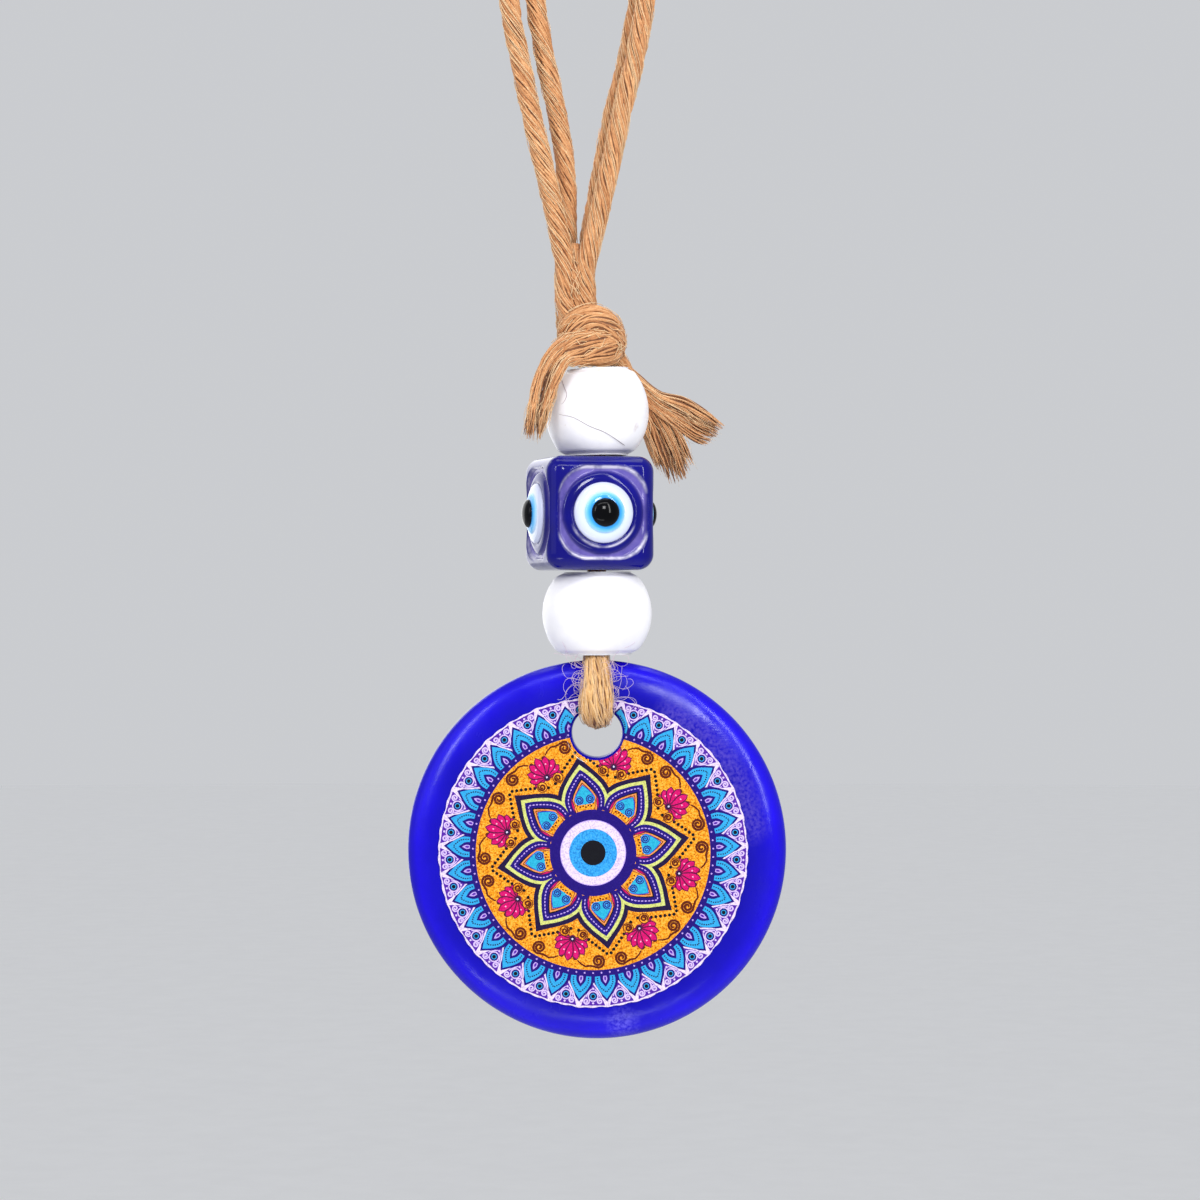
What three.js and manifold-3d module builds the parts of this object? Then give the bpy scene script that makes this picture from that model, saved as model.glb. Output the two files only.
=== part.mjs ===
// Evil eye ornament: a cobalt glass disc with a printed medallion hangs on a waxed cord below
// a cube eye bead and two white beads. The doubled cord passes through the disc's hole, runs up
// through the beads, is knotted above them and ends in a hanging loop.
// Millimetres, +Z up, the front faces -Y. The origin is the hang point, inside the loop's crown.
import * as THREE from "three";
import { mergeVertices } from "three/addons/utils/BufferGeometryUtils.js";
import { RoundedBoxGeometry } from "three/addons/geometries/RoundedBoxGeometry.js";
import Module from "manifold-3d";

const wasm = await Module();
wasm.setup();

// ---- Driving dimensions ----
const CORD_DIAMETER = 2.5;
const CORD_SIDES = 8;
const KNOT_BOTTOM_Z = -70.2; // how far below the hang point the knot sits on the beads
const KNOT_HEIGHT = 9.1;
const KNOT_X = -1.0; // the knot sits a little to the left of the beads' axis
const KNOT_NECK_SHIFT = -1.85; // and the four strands leave it further to the left

const UPPER_BEAD = { diameter: 13.5, height: 11.4, face: 8.7 };
const LOWER_BEAD = { diameter: 14.3, height: 10.9, face: 9.5 };
const BEAD_EDGE_RADIUS = 0.6;
const BEAD_SIDES = 24;

const CUBE_SIDE = 14.4;
const CUBE_HEIGHT = 14.8;
const CUBE_EDGE_RADIUS = 2.0;
const CUBE_TURN = THREE.MathUtils.degToRad(15); // about the cord, so that its left face shows
const CUBE_SHIFT = -1.0; // the bore runs off the cube's middle, so the cube hangs to the left
const PANEL_BORDER = 1.4; // the cube's edge left standing round each sunk panel
const PANEL_CORNER_RADIUS = 3.4;
const PANEL_DEPTH = 0.5;
const BOSS_RING = 1.15; // the ring of navy glass left standing round each eye
const EYE_WHITE = { diameter: 7.9, seat: 0.8, rise: 0.6 }; // its seat is sunk in the cube
const EYE_IRIS = { diameter: 5.4, seat: 0.15, rise: 0.35 };
const EYE_PUPIL = { diameter: 3.7, seat: 0.15, rise: 0.6 };
const EYE_SIDES = 16;

const DISC_DIAMETER = 49.6;
const DISC_THICKNESS = 5.2;
const DISC_RIM_WIDTH = 4.6; // the rounded band between the flat face and the edge
const DISC_EDGE_THICKNESS = 0.9;
const DISC_SIDES = 60;
const HOLE_DIAMETER = 6.5;
const HOLE_LIP = 1.2; // the rounding of both mouths of the hole
const HOLE_EDGE_DISTANCE = 6.2; // the glass left between the hole and the disc's edge

const PRINT_BORDER = 4.5; // the plain glass left round the print
const PRINT_THICKNESS = 0.12;
const PRINT_OFFSET = { x: -0.5, z: -0.3 }; // the print sits a little off the disc's centre

// ---- Clearances ----
const BEAD_GAP = 0.2; // between a bead and what rests on it
const CORD_GAP = 0.3; // between the cord and what it presses on
const DISC_GAP = 0.27 * CORD_DIAMETER; // below the lower bead, where the cord spreads over the disc
const FUSE_GAP = 0.1; // between glass dots that are melted together on the real bead
const FILM_GAP = 0.05; // between the print and the glass
const STRAND_SPACING = CORD_DIAMETER + CORD_GAP; // between two strands that lie side by side
const BORE_SLACK = 0.35; // between the two strands and the bore they fill
const BORE_FLARE = { depth: 2.6, land: 0.1 }; // the worn funnel at each end of a white bead's bore

// ---- Sizes that follow ----
const CORD_RADIUS = CORD_DIAMETER / 2;
const PRINT_DIAMETER = DISC_DIAMETER - 2 * PRINT_BORDER;
const KNOT_TOP_Z = KNOT_BOTTOM_Z + KNOT_HEIGHT;
const BORE_RADIUS = STRAND_SPACING / 2 + CORD_RADIUS + BORE_SLACK;
const UPPER_BEAD_Z = KNOT_BOTTOM_Z - BEAD_GAP - UPPER_BEAD.height / 2;
const CUBE_Z = UPPER_BEAD_Z - UPPER_BEAD.height / 2 - BEAD_GAP - CUBE_HEIGHT / 2;
const LOWER_BEAD_Z = CUBE_Z - CUBE_HEIGHT / 2 - BEAD_GAP - LOWER_BEAD.height / 2;
const LOWER_BEAD_BOTTOM = LOWER_BEAD_Z - LOWER_BEAD.height / 2;
const DISC_TOP = LOWER_BEAD_BOTTOM - DISC_GAP;
const DISC_Z = DISC_TOP - DISC_DIAMETER / 2;
const HOLE_TOP = DISC_TOP - HOLE_EDGE_DISTANCE;
const HOLE_Z = HOLE_TOP - HOLE_DIAMETER / 2;
const CORD_IN_HOLE_Z = HOLE_TOP - CORD_GAP - CORD_RADIUS;
const boreMouth = (bead) => bead.face / 2 - BEAD_EDGE_RADIUS * 0.6 - BORE_FLARE.land;
const CORE_END_Z = LOWER_BEAD_BOTTOM + LOWER_BEAD.height * 0.45; // where the turning bight begins

// ---- Materials ----
const material = (color, roughness) =>
  new THREE.MeshStandardMaterial({ color, roughness, metalness: 0 });
const cordMaterial = () => material(0xc48f5a, 0.85);
const whiteBeadMaterial = () => material(0xf4f3f5, 0.12);
const cobaltGlass = () => material(0x1c00c8, 0.1);
const navyGlass = () => material(0x10106e, 0.1);
const printInk = () => material(0xf6a81c, 0.35);
const eyeWhiteGlass = () => material(0xf0f2fa, 0.1);
const eyeBlueGlass = () => material(0x53b8e8, 0.1);
const eyeBlackGlass = () => material(0x05060a, 0.08);

// ---- Solid helpers ----
function toSolid(geometry) {
  const plain = geometry.clone();
  plain.deleteAttribute("normal");
  plain.deleteAttribute("uv");
  const merged = mergeVertices(plain, 1e-4);
  return new wasm.Manifold(
    new wasm.Mesh({
      numProp: 3,
      vertProperties: merged.attributes.position.array,
      triVerts: new Uint32Array(merged.index.array),
    }),
  );
}

function toGeometry(solid) {
  const { vertProperties, triVerts } = solid.getMesh();
  const geometry = new THREE.BufferGeometry();
  geometry.setAttribute("position", new THREE.BufferAttribute(vertProperties, 3));
  geometry.setIndex(new THREE.BufferAttribute(triVerts, 1));
  geometry.computeVertexNormals();
  return geometry;
}

// A round bar along Z, centred on the origin.
function bar(diameter, length, sides) {
  const geometry = new THREE.CylinderGeometry(diameter / 2, diameter / 2, length, sides);
  return toSolid(geometry.rotateX(Math.PI / 2));
}

function named(name, geometry, paint) {
  const mesh = new THREE.Mesh(geometry, paint);
  mesh.name = name;
  return mesh;
}

const arcPoints = (cx, cy, rx, ry, fromDeg, toDeg, steps) =>
  Array.from({ length: steps + 1 }, (_, i) => {
    const angle = THREE.MathUtils.degToRad(fromDeg + ((toDeg - fromDeg) * i) / steps);
    return new THREE.Vector2(cx + rx * Math.cos(angle), cy + ry * Math.sin(angle));
  });

// A closed tube with a round section along a smooth curve through the points.
function cordTube(points, steps) {
  const section = new THREE.Shape(
    arcPoints(0, 0, CORD_RADIUS, CORD_RADIUS, 0, 360 - 360 / CORD_SIDES, CORD_SIDES - 1),
  );
  const path = new THREE.CatmullRomCurve3(points.map((p) => new THREE.Vector3(...p)));
  return new THREE.ExtrudeGeometry(section, { steps, extrudePath: path });
}

// ---- Hanging loop ----
// Two strands go up on the left, over the hang point and down on the right, one in front of
// the other. Each row is x, z of the strand's centre, from the knot and back to it.
const STRAND_SIDE_Y = STRAND_SPACING / 2;
const NECK_X = {
  left: KNOT_X + KNOT_NECK_SHIFT - STRAND_SPACING / 2,
  right: KNOT_X + KNOT_NECK_SHIFT + STRAND_SPACING / 2,
};

const FRONT_ROUTE = [
  [NECK_X.left, KNOT_TOP_Z + CORD_GAP],
  [NECK_X.left, -57],
  [-5.1, -52],
  [-6.8, -44.6],
  [-8.6, -37],
  [-10.2, -29.5],
  [-11.5, -22],
  [-12.1, -14],
  [-10.9, -6.5],
  [-6.6, -0.6],
  [0, CORD_RADIUS],
  [5.4, -1.5],
  [8.1, -7.5],
  [7.8, -14.5],
  [6.4, -22],
  [5.1, -29.5],
  [3.2, -37],
  [1.6, -44.6],
  [0.1, -51],
  [NECK_X.right, -57],
  [NECK_X.right, KNOT_TOP_Z + CORD_GAP],
];

const REAR_ROUTE = [
  [NECK_X.left, KNOT_TOP_Z + CORD_GAP],
  [NECK_X.left, -57],
  [-3.9, -52],
  [-4.1, -44.6],
  [-5.2, -37],
  [-6.8, -29.5],
  [-8.1, -22],
  [-9.3, -14],
  [-9, -6.8],
  [-5.8, -1],
  [0, CORD_RADIUS],
  [4.6, -1.3],
  [7, -7.5],
  [6.6, -14.5],
  [5.4, -22],
  [4, -29.5],
  [2.1, -37],
  [0.6, -44.6],
  [-0.6, -51],
  [NECK_X.right, -57],
  [NECK_X.right, KNOT_TOP_Z + CORD_GAP],
];

function loopStrand(name, route, y) {
  const points = route.map(([x, z]) => [x, y, z]);
  return named(name, cordTube(points, 2 * route.length), cordMaterial());
}

// ---- Knot and frayed ends ----

// The tied strands as a lumpy body: a core and two slanted wraps round it.
function knot() {
  const middle = KNOT_BOTTOM_Z + KNOT_HEIGHT / 2;
  const core = bar(2.8 * CORD_DIAMETER, KNOT_HEIGHT, 20).translate([KNOT_X - 0.4, 0, middle]);
  const wrap = (major, tiltDeg, rise) => {
    const ring = new THREE.TorusGeometry(major, CORD_RADIUS * 1.1, 8, 24);
    ring.rotateY(THREE.MathUtils.degToRad(tiltDeg));
    ring.translate(KNOT_X, 0, middle + rise * KNOT_HEIGHT);
    return toSolid(ring);
  };
  const solid = core
    .add(wrap(1.16 * CORD_DIAMETER, 24, 0.16))
    .add(wrap(1.32 * CORD_DIAMETER, -16, -0.2));
  return named("cord_knot", toGeometry(solid), cordMaterial());
}

const polar = (bearingDeg, radius) => {
  const bearing = THREE.MathUtils.degToRad(bearingDeg);
  return [radius * Math.cos(bearing), radius * Math.sin(bearing)];
};

// Each end leaves the knot, passes down outside the upper bead and stops beside it.
const FRAYED_ENDS = [
  {
    name: "frayed_end_left",
    root: { bearing: 215, height: 2.9 },
    tip: { bearing: 208, standoff: 3.0, height: -9.7 },
    halfWidth: 1.9,
    halfThickness: 1.1,
  },
  {
    name: "frayed_end_right",
    root: { bearing: 50, height: 2 },
    tip: { bearing: 30.2, standoff: 8.75, height: -12.1 },
    halfWidth: 3.6,
    halfThickness: 1.2,
  },
];
const KNOT_RADIUS = 2.2 * CORD_DIAMETER; // where the frayed ends leave the wraps

// A flat tuft of loose fibres that widens from the knot to its ragged end.
function frayedEnd({ name, root, tip, halfWidth, halfThickness }) {
  const [rootX, rootY] = polar(root.bearing, KNOT_RADIUS);
  const [tipX, tipY] = polar(tip.bearing, UPPER_BEAD.diameter / 2 + tip.standoff);
  const start = new THREE.Vector3(KNOT_X + rootX, rootY, KNOT_BOTTOM_Z + root.height);
  const along = new THREE.Vector3(tipX, tipY, KNOT_BOTTOM_Z + tip.height).sub(start);
  const length = along.length();
  const outline = [
    [0, 0],
    [0.42, 0],
    [0.5, 0.2],
    [0.8, 0.55],
    [1, 0.85],
    [0.75, 0.97],
    [0, 1],
  ].map(([radius, distance]) => new THREE.Vector2(radius * halfWidth, distance * length));
  const tuft = new THREE.LatheGeometry(outline, 16);
  tuft.scale(1, 1, halfThickness / halfWidth);
  const mesh = named(name, tuft, cordMaterial());
  const direction = along.clone().normalize();
  const flat = new THREE.Vector3(0, -1, 0).projectOnPlane(direction).normalize();
  const side = new THREE.Vector3().crossVectors(direction, flat);
  mesh.quaternion.setFromRotationMatrix(new THREE.Matrix4().makeBasis(side, direction, flat));
  mesh.position.copy(start);
  return mesh;
}

// ---- Cord through the beads and the disc ----
function coreLeg(name, y) {
  const top = KNOT_BOTTOM_Z - CORD_GAP;
  const length = top - CORE_END_Z;
  const leg = new THREE.CylinderGeometry(CORD_RADIUS, CORD_RADIUS, length, CORD_SIDES);
  const mesh = named(name, leg, cordMaterial());
  mesh.rotation.x = Math.PI / 2;
  mesh.position.set(0, y, CORE_END_Z + length / 2);
  return mesh;
}

// Where the cord's centre lies when it presses on the disc's rounded rim: 0 degrees is the
// rim's inner end, at the flat face, and 90 its outermost edge.
function overRim(degrees) {
  const angle = THREE.MathUtils.degToRad(degrees);
  const depth = DISC_THICKNESS / 2 - DISC_EDGE_THICKNESS / 2;
  const onRim = new THREE.Vector2(
    DISC_EDGE_THICKNESS / 2 + depth * Math.cos(angle),
    DISC_TOP - DISC_RIM_WIDTH * (1 - Math.sin(angle)),
  );
  const outward = new THREE.Vector2(Math.cos(angle) / depth, Math.sin(angle) / DISC_RIM_WIDTH);
  return onRim.add(outward.setLength(CORD_GAP + CORD_RADIUS)).toArray();
}

// The bight hugs the disc: down its front, back through the hole and up its rear.
function cordBight() {
  const face = DISC_THICKNESS / 2 + FILM_GAP + PRINT_THICKNESS;
  const reach = face + CORD_GAP + CORD_RADIUS;
  const bend = HOLE_LIP + CORD_GAP + CORD_RADIUS;
  const half = [
    [STRAND_SIDE_Y, CORE_END_Z - CORD_GAP],
    [STRAND_SIDE_Y + 0.1, LOWER_BEAD_BOTTOM + BORE_FLARE.depth],
    [boreMouth(LOWER_BEAD) - 1.68 * CORD_RADIUS, LOWER_BEAD_BOTTOM + 0.5],
    overRim(45),
    overRim(27),
    overRim(11),
    [reach, DISC_TOP - DISC_RIM_WIDTH],
    [face + bend * 0.24, HOLE_TOP - bend * 0.24],
    [DISC_THICKNESS / 2 - HOLE_LIP, CORD_IN_HOLE_Z],
  ];
  const front = half.map(([y, z]) => [0, -y, z]);
  const rear = half.map(([y, z]) => [0, y, z]).reverse();
  return named("cord_bight", cordTube([...front, ...rear], 56), cordMaterial());
}

// ---- White beads ----
// A barrel bead: an outer arc between two flat ends, and a bore with flared mouths.
function barrelBead(name, bead, z) {
  const half = bead.height / 2;
  const swell = (bead.diameter - bead.face) / 2;
  const radius = (swell * swell + half * half) / (2 * swell);
  const centre = bead.diameter / 2 - radius;
  const sweep = THREE.MathUtils.radToDeg(Math.asin((half - BEAD_EDGE_RADIUS) / radius));
  const mouth = boreMouth(bead);
  const profile = [
    ...arcPoints(centre, 0, radius, radius, -sweep, sweep, 8),
    new THREE.Vector2(bead.face / 2, half - BEAD_EDGE_RADIUS * 0.3),
    new THREE.Vector2(bead.face / 2 - BEAD_EDGE_RADIUS * 0.6, half),
    new THREE.Vector2(mouth, half),
    new THREE.Vector2(BORE_RADIUS, half - BORE_FLARE.depth),
    new THREE.Vector2(BORE_RADIUS, -half + BORE_FLARE.depth),
    new THREE.Vector2(mouth, -half),
    new THREE.Vector2(bead.face / 2 - BEAD_EDGE_RADIUS * 0.6, -half),
    new THREE.Vector2(bead.face / 2, -half + BEAD_EDGE_RADIUS * 0.3),
  ];
  profile.push(profile[0].clone());
  const mesh = named(name, new THREE.LatheGeometry(profile, BEAD_SIDES), whiteBeadMaterial());
  mesh.rotation.x = Math.PI / 2;
  mesh.position.z = z;
  return mesh;
}

// ---- Cube eye bead ----
// A cutter for one side of the cube: the sunk panel without its boss, and the eye's pocket.
function panelCutter() {
  const corner = PANEL_CORNER_RADIUS;
  const inner = CUBE_SIDE / 2 - PANEL_BORDER - corner;
  const square = new THREE.Shape();
  square.absarc(inner, inner, corner, 0, Math.PI / 2);
  square.absarc(-inner, inner, corner, Math.PI / 2, Math.PI);
  square.absarc(-inner, -inner, corner, Math.PI, 1.5 * Math.PI);
  square.absarc(inner, -inner, corner, 1.5 * Math.PI, 2 * Math.PI);
  const panel = new THREE.ExtrudeGeometry(square, {
    depth: 2 * PANEL_DEPTH,
    bevelEnabled: false,
    curveSegments: 6,
  });
  panel.translate(0, 0, -PANEL_DEPTH);
  const boss = bar(EYE_WHITE.diameter + 2 * BOSS_RING, 4 * PANEL_DEPTH, 2 * EYE_SIDES);
  const pocket = bar(EYE_WHITE.diameter + 2 * FUSE_GAP, 2 * (EYE_WHITE.seat + FUSE_GAP), EYE_SIDES);
  return toSolid(panel).subtract(boss).add(pocket);
}

function cubeBody() {
  const box = new RoundedBoxGeometry(CUBE_SIDE, CUBE_SIDE, CUBE_HEIGHT, 3, CUBE_EDGE_RADIUS);
  const cubeMiddle = new THREE.Vector2();
  const boreAt = new THREE.Vector2(-CUBE_SHIFT, 0).rotateAround(cubeMiddle, -CUBE_TURN);
  const bore = bar(2 * BORE_RADIUS, 2 * CUBE_HEIGHT, BEAD_SIDES);
  let solid = toSolid(box).subtract(bore.translate([boreAt.x, boreAt.y, 0]));
  for (let side = 0; side < 4; side += 1) {
    solid = solid.subtract(
      panelCutter().rotate([90, 0, 0]).translate([0, -CUBE_SIDE / 2, 0]).rotate([0, 0, 90 * side]),
    );
  }
  return named("cube_bead_body", toGeometry(solid), navyGlass());
}

// A round dot of glass that faces -Y: a straight seat, then a rounded shoulder up to the flat
// that the next dot is melted on, or up to a full dome on the last dot.
function eyeDot(name, dot, nextDiameter, backY, paint) {
  const radius = dot.diameter / 2;
  const flat = nextDiameter / 2;
  const profile = [
    new THREE.Vector2(0, 0),
    new THREE.Vector2(radius, 0),
    ...arcPoints(flat, dot.seat, radius - flat, dot.rise, 0, 90, 3),
  ];
  if (flat > 0) {
    profile.push(new THREE.Vector2(0, dot.seat + dot.rise));
  }
  const mesh = named(name, new THREE.LatheGeometry(profile, EYE_SIDES), paint);
  mesh.rotation.x = Math.PI;
  mesh.position.y = backY;
  return mesh;
}

const EYE_FACES = ["front", "right", "rear", "left"];

// The three dots of one eye, each on the flat of the one before.
function eye(face) {
  const group = new THREE.Group();
  const whiteBack = -CUBE_SIDE / 2 + EYE_WHITE.seat;
  const irisBack = whiteBack - EYE_WHITE.seat - EYE_WHITE.rise - FUSE_GAP;
  const pupilBack = irisBack - EYE_IRIS.seat - EYE_IRIS.rise - FUSE_GAP;
  const iris = EYE_IRIS.diameter;
  const pupil = EYE_PUPIL.diameter;
  group.add(
    eyeDot(`eye_white_${face}`, EYE_WHITE, iris, whiteBack, eyeWhiteGlass()),
    eyeDot(`eye_iris_${face}`, EYE_IRIS, pupil, irisBack, eyeBlueGlass()),
    eyeDot(`eye_pupil_${face}`, EYE_PUPIL, 0, pupilBack, eyeBlackGlass()),
  );
  return group;
}

function cubeBead() {
  const bead = new THREE.Group();
  bead.add(cubeBody());
  EYE_FACES.forEach((face, side) => {
    const turned = eye(face);
    turned.rotation.z = (side * Math.PI) / 2;
    bead.add(turned);
  });
  bead.rotation.z = CUBE_TURN;
  bead.position.set(CUBE_SHIFT, 0, CUBE_Z);
  return bead;
}

// ---- Glass disc and its print ----
// Both lathe about Y, so their profiles are radius and depth.
function glassDisc() {
  const half = DISC_THICKNESS / 2;
  const edge = DISC_EDGE_THICKNESS / 2;
  const flat = DISC_DIAMETER / 2 - DISC_RIM_WIDTH;
  const front = arcPoints(flat, edge, DISC_RIM_WIDTH, half - edge, 90, 0, 6);
  const rear = arcPoints(flat, -edge, DISC_RIM_WIDTH, half - edge, 0, -90, 6);
  const axisFront = new THREE.Vector2(0, half);
  const axisRear = new THREE.Vector2(0, -half);
  const profile = [axisFront, ...front, ...rear, axisRear].reverse();
  const disc = toSolid(new THREE.LatheGeometry(profile, DISC_SIDES));
  const bore = HOLE_DIAMETER / 2;
  const lip = [
    ...arcPoints(bore + HOLE_LIP, -half + HOLE_LIP, HOLE_LIP, HOLE_LIP, -90, -180, 3),
    ...arcPoints(bore + HOLE_LIP, half - HOLE_LIP, HOLE_LIP, HOLE_LIP, 180, 90, 3),
  ];
  const mouth = bore + HOLE_LIP;
  const cutter = [
    new THREE.Vector2(0, -half - 1),
    new THREE.Vector2(mouth, -half - 1),
    ...lip,
    new THREE.Vector2(mouth, half + 1),
    new THREE.Vector2(0, half + 1),
  ];
  const hole = toSolid(new THREE.LatheGeometry(cutter, 24)).translate([0, 0, HOLE_Z - DISC_Z]);
  const mesh = named("glass_disc", toGeometry(disc.subtract(hole)), cobaltGlass());
  mesh.position.z = DISC_Z;
  return mesh;
}

function printedMedallion() {
  const around = bar(HOLE_DIAMETER + 2 * (HOLE_LIP + FILM_GAP), 4 * PRINT_THICKNESS, 32);
  const film = bar(PRINT_DIAMETER, PRINT_THICKNESS, 2 * DISC_SIDES)
    .translate([PRINT_OFFSET.x, PRINT_OFFSET.z, PRINT_THICKNESS / 2])
    .subtract(around.translate([0, HOLE_Z - DISC_Z, 0]));
  const mesh = named("printed_medallion", toGeometry(film), printInk());
  mesh.rotation.x = Math.PI / 2;
  mesh.position.set(0, -DISC_THICKNESS / 2 - FILM_GAP, DISC_Z);
  return mesh;
}

// ---- Assembly ----
const ornament = new THREE.Group();
ornament.add(
  loopStrand("loop_strand_front", FRONT_ROUTE, -STRAND_SIDE_Y),
  loopStrand("loop_strand_rear", REAR_ROUTE, STRAND_SIDE_Y),
  knot(),
  ...FRAYED_ENDS.map(frayedEnd),
  coreLeg("core_leg_front", -STRAND_SIDE_Y),
  coreLeg("core_leg_rear", STRAND_SIDE_Y),
  barrelBead("upper_bead", UPPER_BEAD, UPPER_BEAD_Z),
  cubeBead(),
  barrelBead("lower_bead", LOWER_BEAD, LOWER_BEAD_Z),
  cordBight(),
  glassDisc(),
  printedMedallion(),
);

export default ornament;
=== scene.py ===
import math

import bpy
import numpy as np
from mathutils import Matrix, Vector, geometry


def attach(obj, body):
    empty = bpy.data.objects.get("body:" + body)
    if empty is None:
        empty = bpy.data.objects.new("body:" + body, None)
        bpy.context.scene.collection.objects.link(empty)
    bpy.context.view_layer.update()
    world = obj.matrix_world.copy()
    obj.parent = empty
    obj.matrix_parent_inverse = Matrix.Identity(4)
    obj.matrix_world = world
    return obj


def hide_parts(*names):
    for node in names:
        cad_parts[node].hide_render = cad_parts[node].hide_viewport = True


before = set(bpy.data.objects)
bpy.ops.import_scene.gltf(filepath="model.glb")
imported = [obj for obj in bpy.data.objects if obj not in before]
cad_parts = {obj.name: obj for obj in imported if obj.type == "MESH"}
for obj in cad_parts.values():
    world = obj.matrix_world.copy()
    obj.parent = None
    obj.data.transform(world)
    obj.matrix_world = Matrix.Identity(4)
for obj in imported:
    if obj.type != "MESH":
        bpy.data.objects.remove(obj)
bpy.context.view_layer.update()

MM = 0.001  # lengths below are in millimetres, and the scene is in metres
TURN = 2 * math.pi
rng = np.random.default_rng(20)


# ---- Camera ----
VIEW_X = 0.4
VIEW_Z = -100.7
VIEW_DISTANCE = 437.5


def make_camera():
    data = bpy.data.cameras.new("camera")
    data.lens = 100
    data.sensor_width = 36
    camera = bpy.data.objects.new("camera", data)
    camera.location = Vector((VIEW_X, -VIEW_DISTANCE, VIEW_Z)) * MM
    camera.rotation_euler = (math.radians(90), 0, 0)
    bpy.context.scene.collection.objects.link(camera)
    bpy.context.scene.camera = camera


make_camera()


# ---- Materials ----
def linear(rgb):
    """A linear colour from 0-255 screen values."""
    c = np.array(rgb, float) / 255
    c = np.where(c <= 0.04045, c / 12.92, ((c + 0.055) / 1.055) ** 2.4)
    return (*c.tolist(), 1.0)


class Paint:
    """A material and short ways to add nodes to it."""

    def __init__(self, name, **shader):
        self.material = bpy.data.materials.new(name)
        self.material.use_nodes = True
        self.tree = self.material.node_tree
        self.shader = self.tree.nodes["Principled BSDF"]
        self.shade(**shader)

    def set(self, node, inputs):
        for key, value in inputs.items():
            socket = node.inputs[key.replace("_", " ")]
            if isinstance(value, bpy.types.NodeSocket):
                self.tree.links.new(value, socket)
            else:
                socket.default_value = value

    def shade(self, **inputs):
        self.set(self.shader, inputs)

    def node(self, kind, settings=None, **inputs):
        made = self.tree.nodes.new("ShaderNode" + kind)
        for key, value in (settings or {}).items():
            setattr(made, key, value)
        self.set(made, inputs)
        return made

    def place(self, source="Object", scale=(1, 1, 1)):
        """Coordinates: Object is in metres in the row frame, UV is the piece's own."""
        coords = self.node("TexCoord").outputs[source]
        return self.node("Mapping", Vector=coords, Scale=scale).outputs["Vector"]

    def noise(self, place, scale, detail=3.0, roughness=0.55):
        return self.node(
            "TexNoise", Vector=place, Scale=scale, Detail=detail, Roughness=roughness
        ).outputs["Fac"]

    def ramp(self, fac, stops):
        """A colour ramp; stops are (position, screen colour)."""
        made = self.node("ValToRGB", Fac=fac)
        ramp = made.color_ramp
        while len(ramp.elements) < len(stops):
            ramp.elements.new(0.5)
        for element, (position, rgb) in zip(ramp.elements, stops):
            element.position = position
            element.color = linear(rgb)
        return made.outputs["Color"]

    def greys(self, fac, low, high, from_low=0.0, from_high=1.0):
        return self.node(
            "MapRange",
            Value=fac,
            From_Min=from_low,
            From_Max=from_high,
            To_Min=low,
            To_Max=high,
        ).outputs["Result"]

    def math(self, operation, a, b=0.0):
        made = self.node("Math", {"operation": operation})
        self.set(made, {"Value": a})
        if isinstance(b, bpy.types.NodeSocket):
            self.tree.links.new(b, made.inputs[1])
        else:
            made.inputs[1].default_value = b
        return made.outputs["Value"]

    def mix(self, fac, a, b, blend="MIX"):
        made = self.node("Mix", {"data_type": "RGBA", "blend_type": blend})
        for index, value in ((0, fac), (6, a), (7, b)):
            if isinstance(value, bpy.types.NodeSocket):
                self.tree.links.new(value, made.inputs[index])
            else:
                made.inputs[index].default_value = value
        return made.outputs[2]

    def spot(self, at, reach, strength=1.0, scale=1300):
        """A ragged patch round a point (mm): strong in its middle, nothing past its reach (mm)."""
        away = self.node("VectorMath", {"operation": "DISTANCE"})
        self.tree.links.new(self.node("TexCoord").outputs["Object"], away.inputs[0])
        away.inputs[1].default_value = tuple(np.array(at) * MM)
        near = self.greys(away.outputs["Value"], strength, 0.0, 0.0, reach * MM)
        ragged = self.greys(self.noise(self.place(), scale, 4), 0.0, 1.0, 0.34, 0.66)
        return self.math("MULTIPLY", near, ragged)

    def bump(self, height, distance, strength=1.0):
        normal = self.node("Bump", Height=height, Distance=distance, Strength=strength)
        self.shade(Normal=normal.outputs["Normal"])


def fibre_paint(name, stops):
    """Waxed cotton: each yarn has its own shade, with fine streaks along it."""
    paint = Paint(name, Roughness=0.62, Sheen_Weight=0.15, Sheen_Roughness=0.5)
    streak = paint.noise(paint.place("UV", (60, 9, 1)), 1.0, 4)
    shade = paint.noise(paint.place("UV", (1, 0.9, 1)), 1.0, 2)
    grain = paint.noise(paint.place("Object"), 2600, 3)
    mixed = paint.math("ADD", paint.math("MULTIPLY", streak, 0.5), paint.math("MULTIPLY", shade, 0.5))
    mixed = paint.math("ADD", mixed, paint.greys(grain, -0.12, 0.12))
    paint.shade(Base_Color=paint.ramp(mixed, stops))
    paint.bump(paint.math("ADD", streak, grain), 0.00006, 0.8)
    return paint.material


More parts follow.
